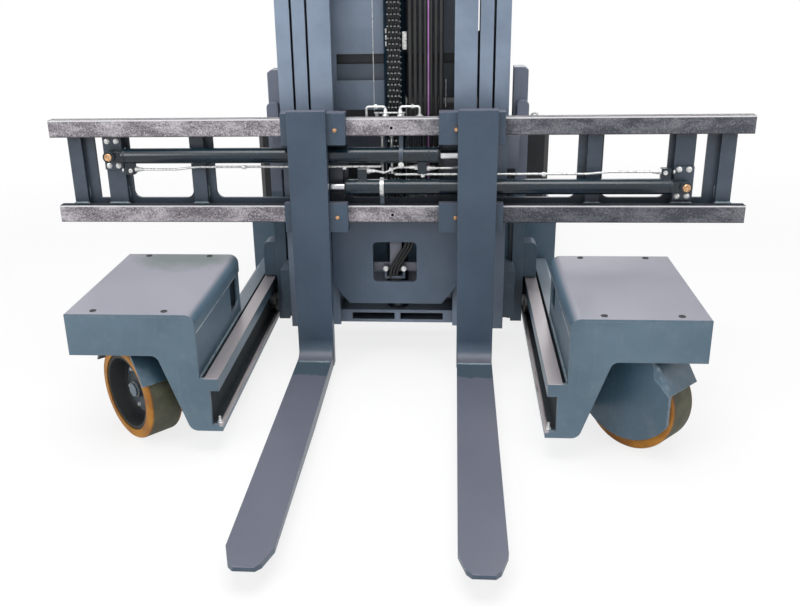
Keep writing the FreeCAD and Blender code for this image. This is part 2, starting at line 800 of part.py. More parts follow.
def anchor(side, z):
    """Bracket on a rib that takes the pin of a cylinder's closed end."""
    x0, x1 = (ribs[2] if side > 0 else (-ribs[2][1], -ribs[2][0]))
    return box(x0, x1, rib_front - anchor_thick, rib_front, z - anchor_fall, z + anchor_rise)


def cylinder_anchors():
    left = anchor(-1, upper_cylinder_z)
    right = anchor(1, lower_cylinder_z)
    clamps = []
    upper_hold, lower_hold = bar_top - bar_height, bar_top - bar_pitch
    for x, z, bar_z in ((32, upper_cylinder_z, upper_hold), (-36, lower_cylinder_z, lower_hold)):
        ring = cylinder(cylinder_radius + clamp_thick, V(x - 7, cylinder_y, z), V(x + 7, cylinder_y, z))
        bore = cylinder(cylinder_radius + 0.3, V(x - 8, cylinder_y, z), V(x + 8, cylinder_y, z))
        tail = box(x - 7, x + 7, cylinder_y - 8, cylinder_y + 8, min(z, bar_z), max(z, bar_z))
        clamps.append(join([ring, tail]).cut(bore))
    return group([left, right] + clamps)


def positioner_cylinder(z, port_side):
    """Barrel along x: its eye at the left end, open for the rod past the middle, with two oil ports."""
    eye = cylinder(eye_radius, V(-anchor_x, eye_front, z), V(-anchor_x, rib_front - anchor_thick, z))
    neck = box(-anchor_x + 8, -barrel_start + 6, cylinder_y - 15, cylinder_y + 13, z - 17, z + 17)
    barrel = cylinder(cylinder_radius, V(-barrel_start, cylinder_y, z), V(cylinder_end_x, cylinder_y, z))
    near, far = sorted((z + port_side * (cylinder_radius - 5), z + port_side * port_reach))
    ports = [box(x, x + port_width, cylinder_y - 13, cylinder_y + 13, near, far) for x in port_places]
    bore = cylinder(positioner_rod_radius + rod_clearance, V(-barrel_start + 16, cylinder_y, z),
                    V(cylinder_end_x + 1, cylinder_y, z))
    return join([eye, neck, barrel] + ports).cut(bore)


def positioner_cylinders():
    lower = mirrored(positioner_cylinder(lower_cylinder_z, 1))
    return group([positioner_cylinder(upper_cylinder_z, -1), lower])


def pipe(route):
    """Bent steel tube swept through (x, z) points in the cylinders' plane, six-sided."""
    points = [V(x, cylinder_y, z) for x, z in route]
    return Part.makePolygon(points).makePipeShell([hexagon(points[0], pipe_radius, "x")], True, False, 1)


def positioner_pipes():
    """One pipe to each closed end, and one across between the ports at the glands."""
    port_inner = port_places[0] + port_width
    gland_port = port_places[1]
    low_left = -gland_port
    upper_left_z = upper_cylinder_z - port_reach + 16
    lower_right_z = lower_cylinder_z + port_reach - 13
    cross_low = lower_cylinder_z + port_reach - 8
    cross_high = upper_cylinder_z - cylinder_radius - clamp_thick - 11
    runs = [
        [(port_inner, upper_left_z), (-760, upper_left_z), (-690, upper_pipe_z), (-45, upper_pipe_z)],
        [(-port_inner, lower_right_z), (740, lower_right_z), (670, lower_pipe_z), (8, lower_pipe_z)],
        [(low_left, cross_low), (-60, cross_low), (-31, cross_low - 6), (16, cross_high),
         (gland_port, cross_high)],
        [(gland_port + port_width, cross_high - 3), (215, cross_high - 3)],
    ]
    return group([pipe(run) for run in runs])


def carriage_plate():
    outline_points = [
        (-plate_half, plate_top), (-plate_half, 307, 10), (-172, plate_bottom, 10),
        (172, plate_bottom, 10), (plate_half, 307, 10), (plate_half, plate_top),
    ]
    plate = prism(outline_points, "xz", plate_front, plate_front + plate_thick)
    window = prism(rectangle(-80, 80, 317, 470, 16), "xz", plate_front - 1, plate_front + plate_thick + 1)
    plate = plate.cut(window)
    back = plate_front + plate_thick
    low = plate_bottom + 20
    side_outline = [(back, low), (side_plate_back, low, 30), (side_plate_back, carriage_top, 40),
                    (plate_front, carriage_top), (plate_front, plate_top), (back, plate_top)]
    side = prism(side_outline, "yz", side_plate_outer - side_plate_thick, side_plate_outer)
    chain_anchor = box(free_x - 24, free_x + 24, back, chain_y + chain_thick / 2, 560, 600)
    hose_block = box(hose_first - guide_edge, hose_last + guide_edge, back, chain_y + 10, 575, 600)
    cross = box(-190, 190, back, back + 14, 480, plate_top)
    return join([plate, chain_anchor, hose_block, cross] + both_sides(side))


# ---------------------------------------------------------------- forks
def fork(hand):
    low = blade_top - fork_thick
    shank = prism([(-heel_width / 2, low), (heel_width / 2, low), (shank_width / 2, shank_top, 5),
                   (-shank_width / 2, shank_top, 5)], "xz", 0, fork_thick)
    blade_side = [(fork_thick, blade_top), (-fork_length, blade_top, 4),
                  (-fork_length, blade_top - tip_thick, 4), (-480, low), (fork_thick, low, 30)]
    blade = prism(blade_side, "yz", -blade_width / 2, blade_width / 2)
    half = blade_width / 2
    side = [(half, fork_thick), (half, -fork_length + 85, 30), (half - 20, -fork_length + 18, 14),
            (half - 36, -fork_length, 10)]
    plan = side + [(-x, *rest) for x, *rest in reversed(side)]
    blade = blade.common(prism(plan, "xy", low - 1, blade_top + 1))
    r = heel_radius
    arc = Part.Arc(V(0, -r, blade_top), V(0, -r * (1 - math.sqrt(0.5)), blade_top + r * (1 - math.sqrt(0.5))),
                   V(0, 0, blade_top + r)).toShape()
    corner = Part.Wire([arc, Part.makeLine(V(0, 0, blade_top + r), V(0, 0.5, blade_top - 1)),
                        Part.makeLine(V(0, 0.5, blade_top - 1), V(0, -r, blade_top))])
    heel = Part.Face(corner).extrude(V(blade_width - 2, 0, 0))
    heel.translate(V(-blade_width / 2 + 1, 0, 0))
    x0, x1 = sorted((-hand * hook_inside, hand * hook_outside))
    middle = bar_front + bar_depth / 2
    bar_face = bar_front - slide_gap
    tongue = groove_width / 2 - slide_gap
    upper_bar_bottom = bar_top - bar_height
    hook_top = bar_top + hook_rise
    upper_block = box(x0, x1, hook_front, bar_face, hook_top - upper_hook_height, hook_top)
    upper_lip = box(x0, x1, bar_face, middle + tongue, bar_top + slide_gap, hook_top)
    upper_key = box(x0, x1, middle - tongue, middle + tongue, bar_top - groove_depth + slide_gap, bar_top + 2)
    low_bar_bottom = upper_bar_bottom - bar_pitch
    hook_low = low_bar_bottom - hook_drop
    lower_block = box(x0, x1, hook_front, bar_face, hook_low, hook_low + lower_hook_height)
    lower_lip = box(x0, x1, bar_face, middle + tongue, hook_low, low_bar_bottom - slide_gap)
    lower_key = box(x0, x1, middle - tongue, middle + tongue, low_bar_bottom - 2,
                    low_bar_bottom + groove_depth - slide_gap)
    rod_z = upper_cylinder_z if hand > 0 else lower_cylinder_z
    lug = box(-25, 25, fork_thick - 1, cylinder_y + 20, rod_z - lug_half, rod_z + lug_half)
    hooks = [upper_block, upper_lip, upper_key, lower_block, lower_lip, lower_key]
    solid = join([shank, blade, heel, lug] + hooks)
    solid.translate(V(hand * fork_places[hand], 0, 0))
    return solid


def positioner_rod(side):
    z = upper_cylinder_z if side > 0 else lower_cylinder_z
    return cylinder(positioner_rod_radius, V(side * (fork_places[side] - 25), cylinder_y, z),
                    V(-side * 830, cylinder_y, z))


# ---------------------------------------------------------------- assembly
def build():
    leg = right_leg()
    cover = right_leg_cover()
    nodes["right_leg"] = leg
    nodes["left_leg"] = mirrored(leg)
    nodes["right_leg_cover"] = cover
    nodes["left_leg_cover"] = mirrored(cover)
    for side, word in ((1, "right"), (-1, "left")):
        nodes[word + "_wheel_carrier"] = place_wheel(wheel_carrier(), side)
        nodes[word + "_load_tyre"] = place_wheel(load_tyre(), side)
        nodes[word + "_load_hub"] = place_wheel(load_hub(), side)
        nodes[word + "_fork"] = fork(side)
        nodes[word + "_positioner_rod"] = positioner_rod(side)
    nodes["main_frame"] = main_frame()
    nodes["battery"] = battery()
    nodes["rear_body"] = rear_body()
    nodes["motor_hood"] = motor_hood()
    nodes["overhead_guard"] = overhead_guard()
    nodes["seat_base"], nodes["seat_cushion"], nodes["seat_backrest"] = seat_parts()
    nodes["control_console"] = console()
    nodes["steering_wheel"] = steering_wheel()
    nodes["reach_cylinder"] = reach_cylinder()
    nodes["drive_tyre"], nodes["drive_hub"] = drive_wheel()
    nodes["drive_unit"] = drive_unit()
    nodes["reach_frame"] = reach_frame()
    nodes["reach_rollers"] = reach_rollers()
    nodes["reach_rod"] = reach_rod()
    nodes["outer_mast"] = outer_mast()
    nodes["middle_mast"] = middle_mast()
    nodes["inner_mast"] = inner_mast()
    nodes["middle_mast_rollers"], nodes["inner_mast_rollers"], nodes["carriage_rollers"] = mast_rollers()
    nodes["lift_cylinders"], nodes["lift_rods"] = lift_cylinders()
    nodes["free_lift_cylinder"], nodes["free_lift_head"] = free_lift_parts()
    nodes["lift_chain"] = lift_chain()
    nodes["mast_hoses"] = mast_hoses()
    nodes["fork_bars"] = fork_bars()
    nodes["fork_frame"] = fork_frame()
    nodes["cylinder_anchors"] = cylinder_anchors()
    nodes["positioner_cylinders"] = positioner_cylinders()
    nodes["positioner_pipes"] = positioner_pipes()
    nodes["carriage_plate"] = carriage_plate()


build()
os.makedirs("parts", exist_ok=True)
to_middle = V(0, (fork_length - truck_back) / 2, 0)
for name, shape in nodes.items():
    moved = shape.copy()
    moved.translate(to_middle)
    moved.exportStep(os.path.join("parts", name + ".step"))
    print(name, len(moved.Solids), "solids", round(moved.Volume / 1e6, 2), "dm3", "valid", moved.isValid())
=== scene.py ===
import json
import math
import bmesh
import bpy
from mathutils import Matrix, Vector


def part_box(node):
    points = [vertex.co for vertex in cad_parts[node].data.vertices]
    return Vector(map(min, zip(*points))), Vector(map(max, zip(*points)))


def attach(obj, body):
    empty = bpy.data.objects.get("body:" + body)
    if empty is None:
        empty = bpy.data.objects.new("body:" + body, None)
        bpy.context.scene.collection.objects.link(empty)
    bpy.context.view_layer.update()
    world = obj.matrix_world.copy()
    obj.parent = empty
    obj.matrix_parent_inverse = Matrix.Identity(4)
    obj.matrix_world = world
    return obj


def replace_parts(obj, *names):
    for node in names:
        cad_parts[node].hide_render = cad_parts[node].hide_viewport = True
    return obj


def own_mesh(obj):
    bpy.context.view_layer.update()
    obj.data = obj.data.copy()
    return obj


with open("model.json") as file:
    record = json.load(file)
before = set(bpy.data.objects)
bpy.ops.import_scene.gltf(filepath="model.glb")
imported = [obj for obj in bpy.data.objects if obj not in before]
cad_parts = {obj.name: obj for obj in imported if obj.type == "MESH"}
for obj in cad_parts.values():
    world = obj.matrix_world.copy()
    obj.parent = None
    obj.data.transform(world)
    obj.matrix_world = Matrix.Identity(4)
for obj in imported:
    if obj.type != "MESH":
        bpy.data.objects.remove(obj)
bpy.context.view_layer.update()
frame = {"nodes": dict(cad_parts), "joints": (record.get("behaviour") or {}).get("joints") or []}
print("frame loaded:", len(frame["nodes"]), "nodes")


class Value:
    # a number somewhere in a shader tree, so that sums can be written plainly
    def __init__(self, shader, source):
        self.shader = shader
        self.source = source

    def maths(self, operation, other=0.0, swapped=False):
        pair = [self, other]
        if swapped:
            pair.reverse()
        node = self.shader.add("ShaderNodeMath", {"operation": operation}, dict(enumerate(pair)))
        return Value(self.shader, node.outputs[0])

    def __add__(self, other):
        return self.maths("ADD", other)

    def __radd__(self, other):
        return self.maths("ADD", other, True)

    def __sub__(self, other):
        return self.maths("SUBTRACT", other)

    def __rsub__(self, other):
        return self.maths("SUBTRACT", other, True)

    def __mul__(self, other):
        return self.maths("MULTIPLY", other)

    def above(self, other):
        return self.maths("MAXIMUM", other)

    def below(self, other):
        return self.maths("MINIMUM", other)

    def size(self):
        return self.maths("ABSOLUTE")

    def between(self, low, high, toLow=0.0, toHigh=1.0):
        # a soft step from low to high
        settings = {"interpolation_type": "SMOOTHSTEP", "clamp": True}
        inputs = {"Value": self, "From Min": low, "From Max": high, "To Min": toLow, "To Max": toHigh}
        node = self.shader.add("ShaderNodeMapRange", settings, inputs)
        return Value(self.shader, node.outputs["Result"])

    def inside(self, low, high, soft=0.0006):
        # 1 between two places, 0 outside them
        return self.between(low - soft, low + soft) * self.between(high + soft, high - soft)


class Shader:
    # the node tree of a new material, or of the world if one is given
    def __init__(self, name, world=None):
        self.material = world or bpy.data.materials.new(name)
        self.material.use_nodes = True
        self.tree = self.material.node_tree
        self.surface = self.tree.nodes["Background" if world else "Principled BSDF"]
        self.place = self.add("ShaderNodeTexCoord", {}, {}).outputs["Object"]
        self.tone = None

    def add(self, kind, settings, inputs):
        node = self.tree.nodes.new(kind)
        for key, value in settings.items():
            setattr(node, key, value)
        for key, value in inputs.items():
            self.feed(node.inputs[key], value)
        return node

    def feed(self, socket, value):
        if isinstance(value, Value):
            value = value.source
        elif isinstance(value, str):
            value = srgb(value)
        if isinstance(value, bpy.types.NodeSocket):
            self.tree.links.new(value, socket)
        elif isinstance(value, tuple) and len(value) == 3 and socket.type == "RGBA":
            socket.default_value = (*value, 1.0)
        else:
            socket.default_value = value

    def stretched(self, scale, turn=(0, 0, 0)):
        inputs = {"Vector": self.place, "Scale": scale, "Rotation": turn}
        return self.add("ShaderNodeMapping", {}, inputs).outputs[0]

    def noise(self, scale, detail=3.0, rough=0.55, where=None, distort=0.0):
        inputs = {"Vector": where or self.place, "Scale": scale, "Detail": detail, "Roughness": rough,
                  "Distortion": distort}
        return Value(self, self.add("ShaderNodeTexNoise", {}, inputs).outputs["Fac"])

    def cells(self, scale):
        inputs = {"Vector": self.place, "Scale": scale}
        return Value(self, self.add("ShaderNodeTexVoronoi", {}, inputs).outputs["Distance"])

    def axisValue(self, axis):
        node = self.add("ShaderNodeSeparateXYZ", {}, {"Vector": self.place})
        return Value(self, node.outputs[axis])

    def facing(self, axis):
        # how far the surface looks along an axis of the truck
        geometry = self.add("ShaderNodeNewGeometry", {}, {})
        node = self.add("ShaderNodeSeparateXYZ", {}, {"Vector": geometry.outputs["Normal"]})
        return Value(self, node.outputs[axis])

    def fromPoint(self, point):
        offset = self.add("ShaderNodeVectorMath", {"operation": "SUBTRACT"}, {0: self.place, 1: point})
        length = self.add("ShaderNodeVectorMath", {"operation": "LENGTH"}, {0: offset.outputs[0]})
        return Value(self, length.outputs["Value"])

    def edges(self, radius):
        # 1 along corners, 0 on flats; the rounded normal softens each corner too
        bevel = self.add("ShaderNodeBevel", {"samples": 4}, {"Radius": radius})
        geometry = self.add("ShaderNodeNewGeometry", {}, {})
        pair = {0: bevel.outputs[0], 1: geometry.outputs["True Normal"]}
        dot = self.add("ShaderNodeVectorMath", {"operation": "DOT_PRODUCT"}, pair)
        return Value(self, dot.outputs["Value"]).between(0.995, 0.88), bevel.outputs[0]

    def shadeInHollows(self, reach):
        # 1 deep in a corner, 0 in the open: the mask of the painted shade in hollows
        node = self.add("ShaderNodeAmbientOcclusion", {"samples": 6}, {"Distance": reach})
        return Value(self, node.outputs["AO"]).between(0.78, 0.25)

    def mix(self, factor, first, second):
        return self.add("ShaderNodeMix", {"data_type": "RGBA"}, {0: factor, 6: first, 7: second}).outputs[2]

    def over(self, factor, colour):
        # lays a colour over the tone so far
        self.tone = self.mix(factor, self.tone, colour)

    def rays(self):
        # 1 for rays straight from the camera, and 1 for rays off a mirror or through glass
        path = self.add("ShaderNodeLightPath", {}, {})
        kinds = ("Camera", "Glossy", "Transmission")
        seen, glossy, through = (Value(self, path.outputs["Is " + kind + " Ray"]) for kind in kinds)
        return seen, glossy.above(through)

    def bump(self, height, strength, distance, normal=None):
        inputs = {"Height": height, "Strength": strength, "Distance": distance}
        if normal is not None:
            inputs["Normal"] = normal
        return self.add("ShaderNodeBump", {}, inputs).outputs[0]

    def finish(self, **sockets):
        for key, value in sockets.items():
            self.feed(self.surface.inputs[key.replace("_", " ")], value)
        return self.material


def srgb(code):
    # a colour from six hex digits, made linear
    levels = [int(code[i:i + 2], 16) for i in (0, 2, 4)]
    return tuple((c / 255 / 12.92) if c <= 10 else ((c / 255 + 0.055) / 1.055) ** 2.4 for c in levels)


lacquer = 0.22      # roughness of the clear coat over every paint


def sprayed(s, look):
    # two-pack paint: slow tone shifts, orange peel, dust and painted top light on flats, rubbed corners,
    # painted shade in hollows
    corner, rounded = s.edges(look["cornerRadius"])
    slow = s.noise(look["slowScale"], 4, 0.6)
    fine = s.noise(look["fineScale"], 2, 0.5)
    cloud = s.noise(17, 5, 0.65)
    streak = s.noise(1.0, 4, 0.6, s.stretched((70, 70, 4)))
    scratch = s.noise(1.0, 2, 0.5, s.stretched((400, 30, 30), (0.4, 0.2, 0.7))).between(0.68, 0.74)
    s.tone = s.mix(slow.between(0.35, 0.65), look["dark"], look["light"])
    s.over(cloud.between(0.5, 0.72) * 0.10, look["dustAndTopLight"])
    s.over(streak.between(0.55, 0.8) * look["streaks"], look["dustAndTopLight"])
    # painted light: faces that look up are lightened for the overhead light, and for dust
    topLightAndDust = (s.facing("Z").between(0.55, 0.98) * (0.7 + slow * 0.5) * look["topLightAndDustAmount"]).below(1.0)
    s.over(topLightAndDust, look["dustAndTopLight"])
    worn = (corner * s.noise(45, 4, 0.7).between(0.40, 0.60)).below(1.0) * look["wear"]
    s.over(worn, look["rubbed"])
    s.over(scratch * look["scratches"], look["rubbed"])
    if "heelAt" in look:        # wet, dark patch on the blade in front of the heel's weld
        y, heel = s.axisValue("Y"), look["heelAt"]
        wet = (y + cloud * 0.07).between(heel - 0.080, heel - 0.074) * y.between(heel + 0.001, heel - 0.001)
        s.over(wet * 0.85, look["heelTone"])
    if "paleFrom" in look:      # the tall columns are chalkier than the beams below
        pale = s.axisValue("Z").between(look["paleFrom"], look["paleFrom"] + 0.02)
        s.over(pale * (0.75 + cloud * 0.2), look["paleTone"])
    if "backShadeFrom" in look:      # painted shade: the ties at the back of the mast are painted black for the deep shade inside the mast
        backShade = s.axisValue("Y").between(look["backShadeFrom"], look["backShadeFrom"] + 0.004)
        s.over(backShade * (1.05 - cloud * 0.25), look["backShadeTone"])
    # painted shade: hollows and corners darkened towards near black
    hollowShade = s.shadeInHollows(look["hollowShadeReach"]) * (0.6 + cloud * 0.6).below(1.0)
    s.over(hollowShade * look["hollowShadeAmount"], look["hollowShadeTone"])
    rough = look["roughness"] + slow * 0.12 + topLightAndDust * 0.16 + fine * 0.05
    normal = s.bump(fine + cloud * 0.5 + scratch * -0.6 * look["scratches"], look["peel"], 0.0006, rounded)
    return rough, normal


def slatePaint(name, look):
    s = Shader(name)
    rough, normal = sprayed(s, look)
    return s.finish(Base_Color=s.tone, Roughness=rough, Normal=normal, Coat_Weight=look["coat"],
                    Coat_Roughness=lacquer)


def legPaint(name, look, legNode):
    # the same paint, rubbed to steel on the rail bar; the channel and the slot by the rail darkened to near
    # black, for grease and as painted shade
    s = Shader(name)
    low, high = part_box(legNode)
    rough, normal = sprayed(s, look)
    side = s.axisValue("X").size()
    level = s.axisValue("Z")
    inner = min(abs(low.x), abs(high.x))
    railTop = low.z + look["railRise"]
    drag = s.noise(1.0, 5, 0.7, s.stretched((160, 4, 160)))
    blotch = s.noise(38, 5, 0.7)
    railSide = inner + look["railWide"]
    strip = side.inside(inner, railSide) * level.between(railTop - 0.0015, railTop - 0.0005)
    strip = strip * (0.72 + drag * 0.35).below(1.0)
    s.over(strip, look["railSteel"])
    arm = s.axisValue("Y").between(low.y + look["frontThick"] + 0.0005, low.y + look["frontThick"] + 0.0015)
    slot = side.inside(railSide - 0.0005, inner + look["slotOuter"] + 0.0005) * \
        level.between(railTop - 0.002, railTop - 0.008)
    web = inner + look["channelDeep"]
    floor, ceiling = low.z + look["channelFloor"], low.z + look["channelTop"]
    channel = side.between(web + 0.0015, web) * level.inside(floor - 0.0005, ceiling + 0.0005)
    # painted shade with grease: the channel and the slot beside the rail darkened
    grease = ((slot * 0.4 + channel) * arm * (0.78 + blotch * 0.3)).below(1.0)
    s.over(grease, look["grease"])
    lip = side.between(inner + 0.014, inner + 0.007) * level.inside(floor - 0.006, floor + 0.0015)
    s.over(lip * drag.between(0.3, 0.5), look["railSteel"])
    return s.finish(Base_Color=s.tone, Roughness=rough - strip * 0.1 + grease * 0.45, Metallic=strip * 0.55,
                    Normal=normal, Coat_Weight=(1 - grease) * look["coat"], Coat_Roughness=lacquer)


def coverPaintOn(name, look):
    # lid with dust and painted top light, a painted reflection of the mast as a dark green patch at its
    # back edge, and a painted highlight along its lower lip
    s = Shader(name)
    rough, normal = sprayed(s, look)
    drift = s.noise(9, 4, 0.6)
    # painted highlight: a pale line along the lower lip
    lip = s.axisValue("Z").between(look["lipAt"] + 0.005, look["lipAt"] + 0.003)
    s.over(lip * drift.between(0.3, 0.5), look["lipHighlightTone"])
    # painted reflection of the mast: a dark green patch at the back of the lid, made glossier as well
    mastReflection = (s.fromPoint(look["mastReflectionAt"]) + drift * 0.16).between(0.31, 0.17) * look["mastReflection"]
    s.over(mastReflection, look["mastReflectionTone"])
    return s.finish(Base_Color=s.tone, Roughness=rough - mastReflection * 0.12, Normal=normal,
                    Coat_Weight=look["coat"], Coat_Roughness=lacquer)


def millSteel(name, look):
    # hot rolled bar with its scale partly ground away: speckle, drag marks, dark pits and a painted top;
    # painted highlights on the upper corners and the top front arris, painted shade on the lower corners,
    # the bottom edge and over the +X side; one small hole in each bar's face, painted as a black disc with
    # a painted highlight round its rim
    s = Shader(name)
    corner, rounded = s.edges(0.0022)
    patch = s.noise(1.0, 5, 0.7, s.stretched((7, 14, 14)), 0.4)
    drag = s.noise(1.0, 6, 0.75, s.stretched((26, 300, 300)))
    speck = s.noise(165, 5, 0.75)
    pits = s.cells(240)
    # painted shade: the bar darker towards +X
    side = s.axisValue("X").between(look["shadedFrom"], look["shadedTo"])
    bright = s.mix(side, look["bright"], look["brightShaded"])
    dull = s.mix(side, look["dull"], look["dullShaded"])
    s.tone = s.mix((patch.between(0.34, 0.62) * 0.9 + speck.between(0.40, 0.62) * 0.35).below(1.0), bright,
                   dull)
    s.over(drag.between(0.50, 0.72) * 0.6, look["scale"])
    s.over(speck.between(0.54, 0.64) * (0.7 - side * 0.3), look["scale"])
    s.over(speck.between(0.45, 0.37) * (0.6 - side * 0.45), look["arris"])
    s.over(pits.between(0.16, 0.0) * 0.4, look["scale"])
    level = s.axisValue("Z")
    lid = s.facing("Z").between(0.5, 0.8)
    s.over(lid, look["lid"])
    # painted highlight on upper corners, painted shade on lower corners
    s.over(corner * s.facing("Z").between(-0.1, 0.2) * 0.85, look["arris"])
    s.over(corner * s.facing("Z").between(0.1, -0.2) * 0.6, look["scale"])
    for top in look["tops"]:
        # painted highlight along each top front arris
        arris = level.inside(top - 0.0050, top + 0.001) * s.facing("Y").between(-0.3, -0.6)
        s.over(arris * drag.between(0.25, 0.42), look["arris"])
        bottom, r = top - look["depth"], look["holeRadius"]
        # painted shade: a dark line along the bottom edge
        s.over(level.inside(bottom - 0.001, bottom + 0.003) * 0.7, look["scale"])
        # a painted hole: a black disc for the shade inside, a painted highlight round its rim
        hole = s.fromPoint((look["holeX"], look["front"], top - look["holeDrop"]))
        s.over(hole.between(r, r - 0.001), (0.004, 0.004, 0.005))
        s.over(hole.inside(r, r + 0.0014), look["arris"])
    rough = 0.36 + speck * 0.18 + drag * 0.12 + lid * 0.4
    shape = speck * 0.6 + drag * 0.5 + pits.between(0.0, 0.3) * 0.3
    return s.finish(Base_Color=s.tone, Metallic=(0.5 + speck * 0.2) * (1 - lid), Roughness=rough,
                    Specular_IOR_Level=0.2, Normal=s.bump(shape, 0.4, 0.0009, rounded))


def machinedSteel(name, look):
    # turned or plated steel: fine rings or plating bloom, a little grease
    s = Shader(name)
    bloom = s.noise(look["bloomScale"], 4, 0.6)
    fine = s.noise(900, 2, 0.5)
    s.tone = s.mix(bloom.between(0.35, 0.7), look["dark"], look["light"])
    grease = s.noise(26, 5, 0.7).between(0.56, 0.7) * look["grease"]
    s.over(grease, (0.02, 0.018, 0.014))
    if "crown" in look:         # dust, and painted top light, on what looks up
        s.over(s.facing("Z").between(0.25, 0.7), look["crown"])
    rough = look["roughness"] + bloom * 0.14 + grease * 0.2
    return s.finish(Base_Color=s.tone, Metallic=look["metal"], Roughness=rough,
                    Normal=s.bump(fine + bloom * 0.4, look["grain"], 0.0003))


def castIron(name, look):
    s = Shader(name)
    corner, rounded = s.edges(0.002)
    lumps = s.noise(70, 5, 0.65)
    sand = s.cells(420)
    s.tone = s.mix(lumps.between(0.35, 0.65), look["dark"], look["light"])
    s.over(corner * 0.5, look["edge"])
    return s.finish(Base_Color=s.tone, Metallic=0.25, Roughness=0.42 + lumps * 0.25,
                    Normal=s.bump(lumps + sand * 0.5, 0.4, 0.0012, rounded))


def castUrethane(name, look):
    # wheel tread: clear amber flanks, a tread face dulled olive by dirt, fine scuffs
    s = Shader(name)
    along = s.add("ShaderNodeVectorMath", {"operation": "DOT_PRODUCT"}, {0: s.place, 1: look["axle"]})
    reach, half = Value(s, along.outputs["Value"]) - look["middle"], look["halfWidth"]
    flank = reach.size().between(half - 0.014, half - 0.005)
    dirt = s.noise(13, 4, 0.6)
    scuff = s.noise(190, 4, 0.7)
    amber = s.mix(dirt.between(0.3, 0.7), look["amber"], look["amberDark"])
    tread = s.mix(dirt.between(0.35, 0.65), look["tread"], look["treadDark"])
    tread = s.mix(scuff.between(0.55, 0.8) * 0.25, tread, look["treadLight"])
    s.tone = s.mix(flank, tread, amber)
    s.over(flank * scuff.between(0.62, 0.74) * 0.35, look["treadDark"])
    burnt = (reach.size() - half + look["seamIn"]).size().between(0.004, 0.001) * dirt.between(0.35, 0.6)
    s.over(burnt * 0.6, look["amberBurnt"])
    rough = 0.62 - flank * 0.14 + scuff * 0.12
    return s.finish(Base_Color=s.tone, Roughness=rough, Normal=s.bump(scuff + dirt * 0.5, 0.2, 0.0008))


def mouldedPlastic(name, look):
    s = Shader(name)
    corner, rounded = s.edges(0.003)
    grain = s.cells(900)
    slow = s.noise(14, 4, 0.6)
    s.tone = s.mix(slow.between(0.3, 0.7), look["dark"], look["light"])
    s.over(corner * 0.35, look["edge"])
    return s.finish(Base_Color=s.tone, Roughness=look["roughness"] + slow * 0.16,
                    Normal=s.bump(grain, 0.25, 0.0006, rounded))


def hoseRubber(name, look):
    # cloth-marked rubber: the wrap's fine ribs run round the hose
    s = Shader(name)
    weave = s.noise(1.0, 2, 0.5, s.stretched((260, 260, 700)))
    slow = s.noise(12, 4, 0.6)
    s.tone = s.mix(slow.between(0.3, 0.7), look["dark"], look["light"])
    return s.finish(Base_Color=s.tone, Roughness=0.38 + slow * 0.2, Normal=s.bump(weave, 0.35, 0.0007))


def seatVinyl(name, look):
    # fine leather grain over slow creases
    s = Shader(name)
    grain = s.cells(520)
    crease = s.noise(22, 5, 0.6, distort=0.8)
    s.tone = s.mix(crease.between(0.35, 0.7), look["dark"], look["light"])
    normal = s.bump(grain * 0.6 + crease, 0.3, 0.0012)
    return s.finish(Base_Color=s.tone, Roughness=0.42 + crease * 0.2, Normal=normal)


paint = dict(dark="4a6171", light="586f7f", dustAndTopLight="9698a0", rubbed="92989e", hollowShadeTone="161c20",
             cornerRadius=0.003, slowScale=3.0, fineScale=320.0, streaks=0.10, topLightAndDustAmount=0.35, wear=0.4,
             scratches=0.10, roughness=0.34, peel=0.14, coat=0.2, hollowShadeAmount=0.8, hollowShadeReach=0.09)
slate = slatePaint("slatePaint", paint)
legLook = dict(paint, railRise=0.178, railWide=0.046, slotOuter=0.057, frontThick=0.012, channelDeep=0.033,
               channelFloor=0.022, channelTop=0.137, railSteel="b0a8aa", grease="141a1c")
leftLegPaint = legPaint("leftLegPaint", legLook, "left_leg")
rightLegPaint = legPaint("rightLegPaint", legLook, "right_leg")
coverLow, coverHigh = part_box("left_leg_cover")
coverPaint = coverPaintOn("coverPaint", dict(paint, topLightAndDustAmount=0.85, dustAndTopLight="93919a", wear=0.5, hollowShadeAmount=0.5,
        mastReflection=0.8, mastReflectionTone="4a5a58", lipAt=coverLow.z, lipHighlightTone="bec2c8",
        mastReflectionAt=(coverHigh.x - 0.180, coverHigh.y + 0.01, coverHigh.z)))
carrierPaint = slatePaint("carrierPaint", dict(paint, dark="2e495a", light="3a5668", wear=0.9,
        rubbed="96a8b0", coat=0.4, roughness=0.28))
forkPaint = slatePaint("forkPaint", dict(paint, dark="304255", light="3a4c5f", dustAndTopLight="5d5f6c",
        topLightAndDustAmount=0.95, wear=0.6, rubbed="7a7a84", scratches=0.3, hollowShadeAmount=0.5,
        heelAt=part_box("right_fork")[0].y + 1.189, heelTone="2e4450"))
platePaint = slatePaint("platePaint", dict(paint, dark="405266", light="4e5d72", dustAndTopLight="606270", coat=0.35))
framePaint = slatePaint("framePaint", dict(paint, dark="34404f", light="424e5d", dustAndTopLight="707a86", wear=0.6))
mastPaint = slatePaint("mastPaint", dict(paint, dark="6c7a8d", light="808fa3", dustAndTopLight="787c86", wear=0.5,
        hollowShadeReach=0.16, backShadeFrom=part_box("outer_mast")[1].y - 0.113, backShadeTone="262228"))
reachPaint = slatePaint("reachPaint", dict(paint, dark="425666", light="506373", topLightAndDustAmount=0.2,
        paleFrom=0.60, paleTone="7c8292", hollowShadeAmount=0.5))
darkPaint = slatePaint("darkPaint", dict(paint, dark="2c343c", light="3a444d", dustAndTopLight="606268",
        roughness=0.42))
barrelPaint = slatePaint("barrelPaint", dict(paint, dark="041621", light="0a212e", dustAndTopLight="324c58",
        roughness=0.10, coat=0.15, topLightAndDustAmount=0.25, wear=0.2, hollowShadeAmount=0.5))
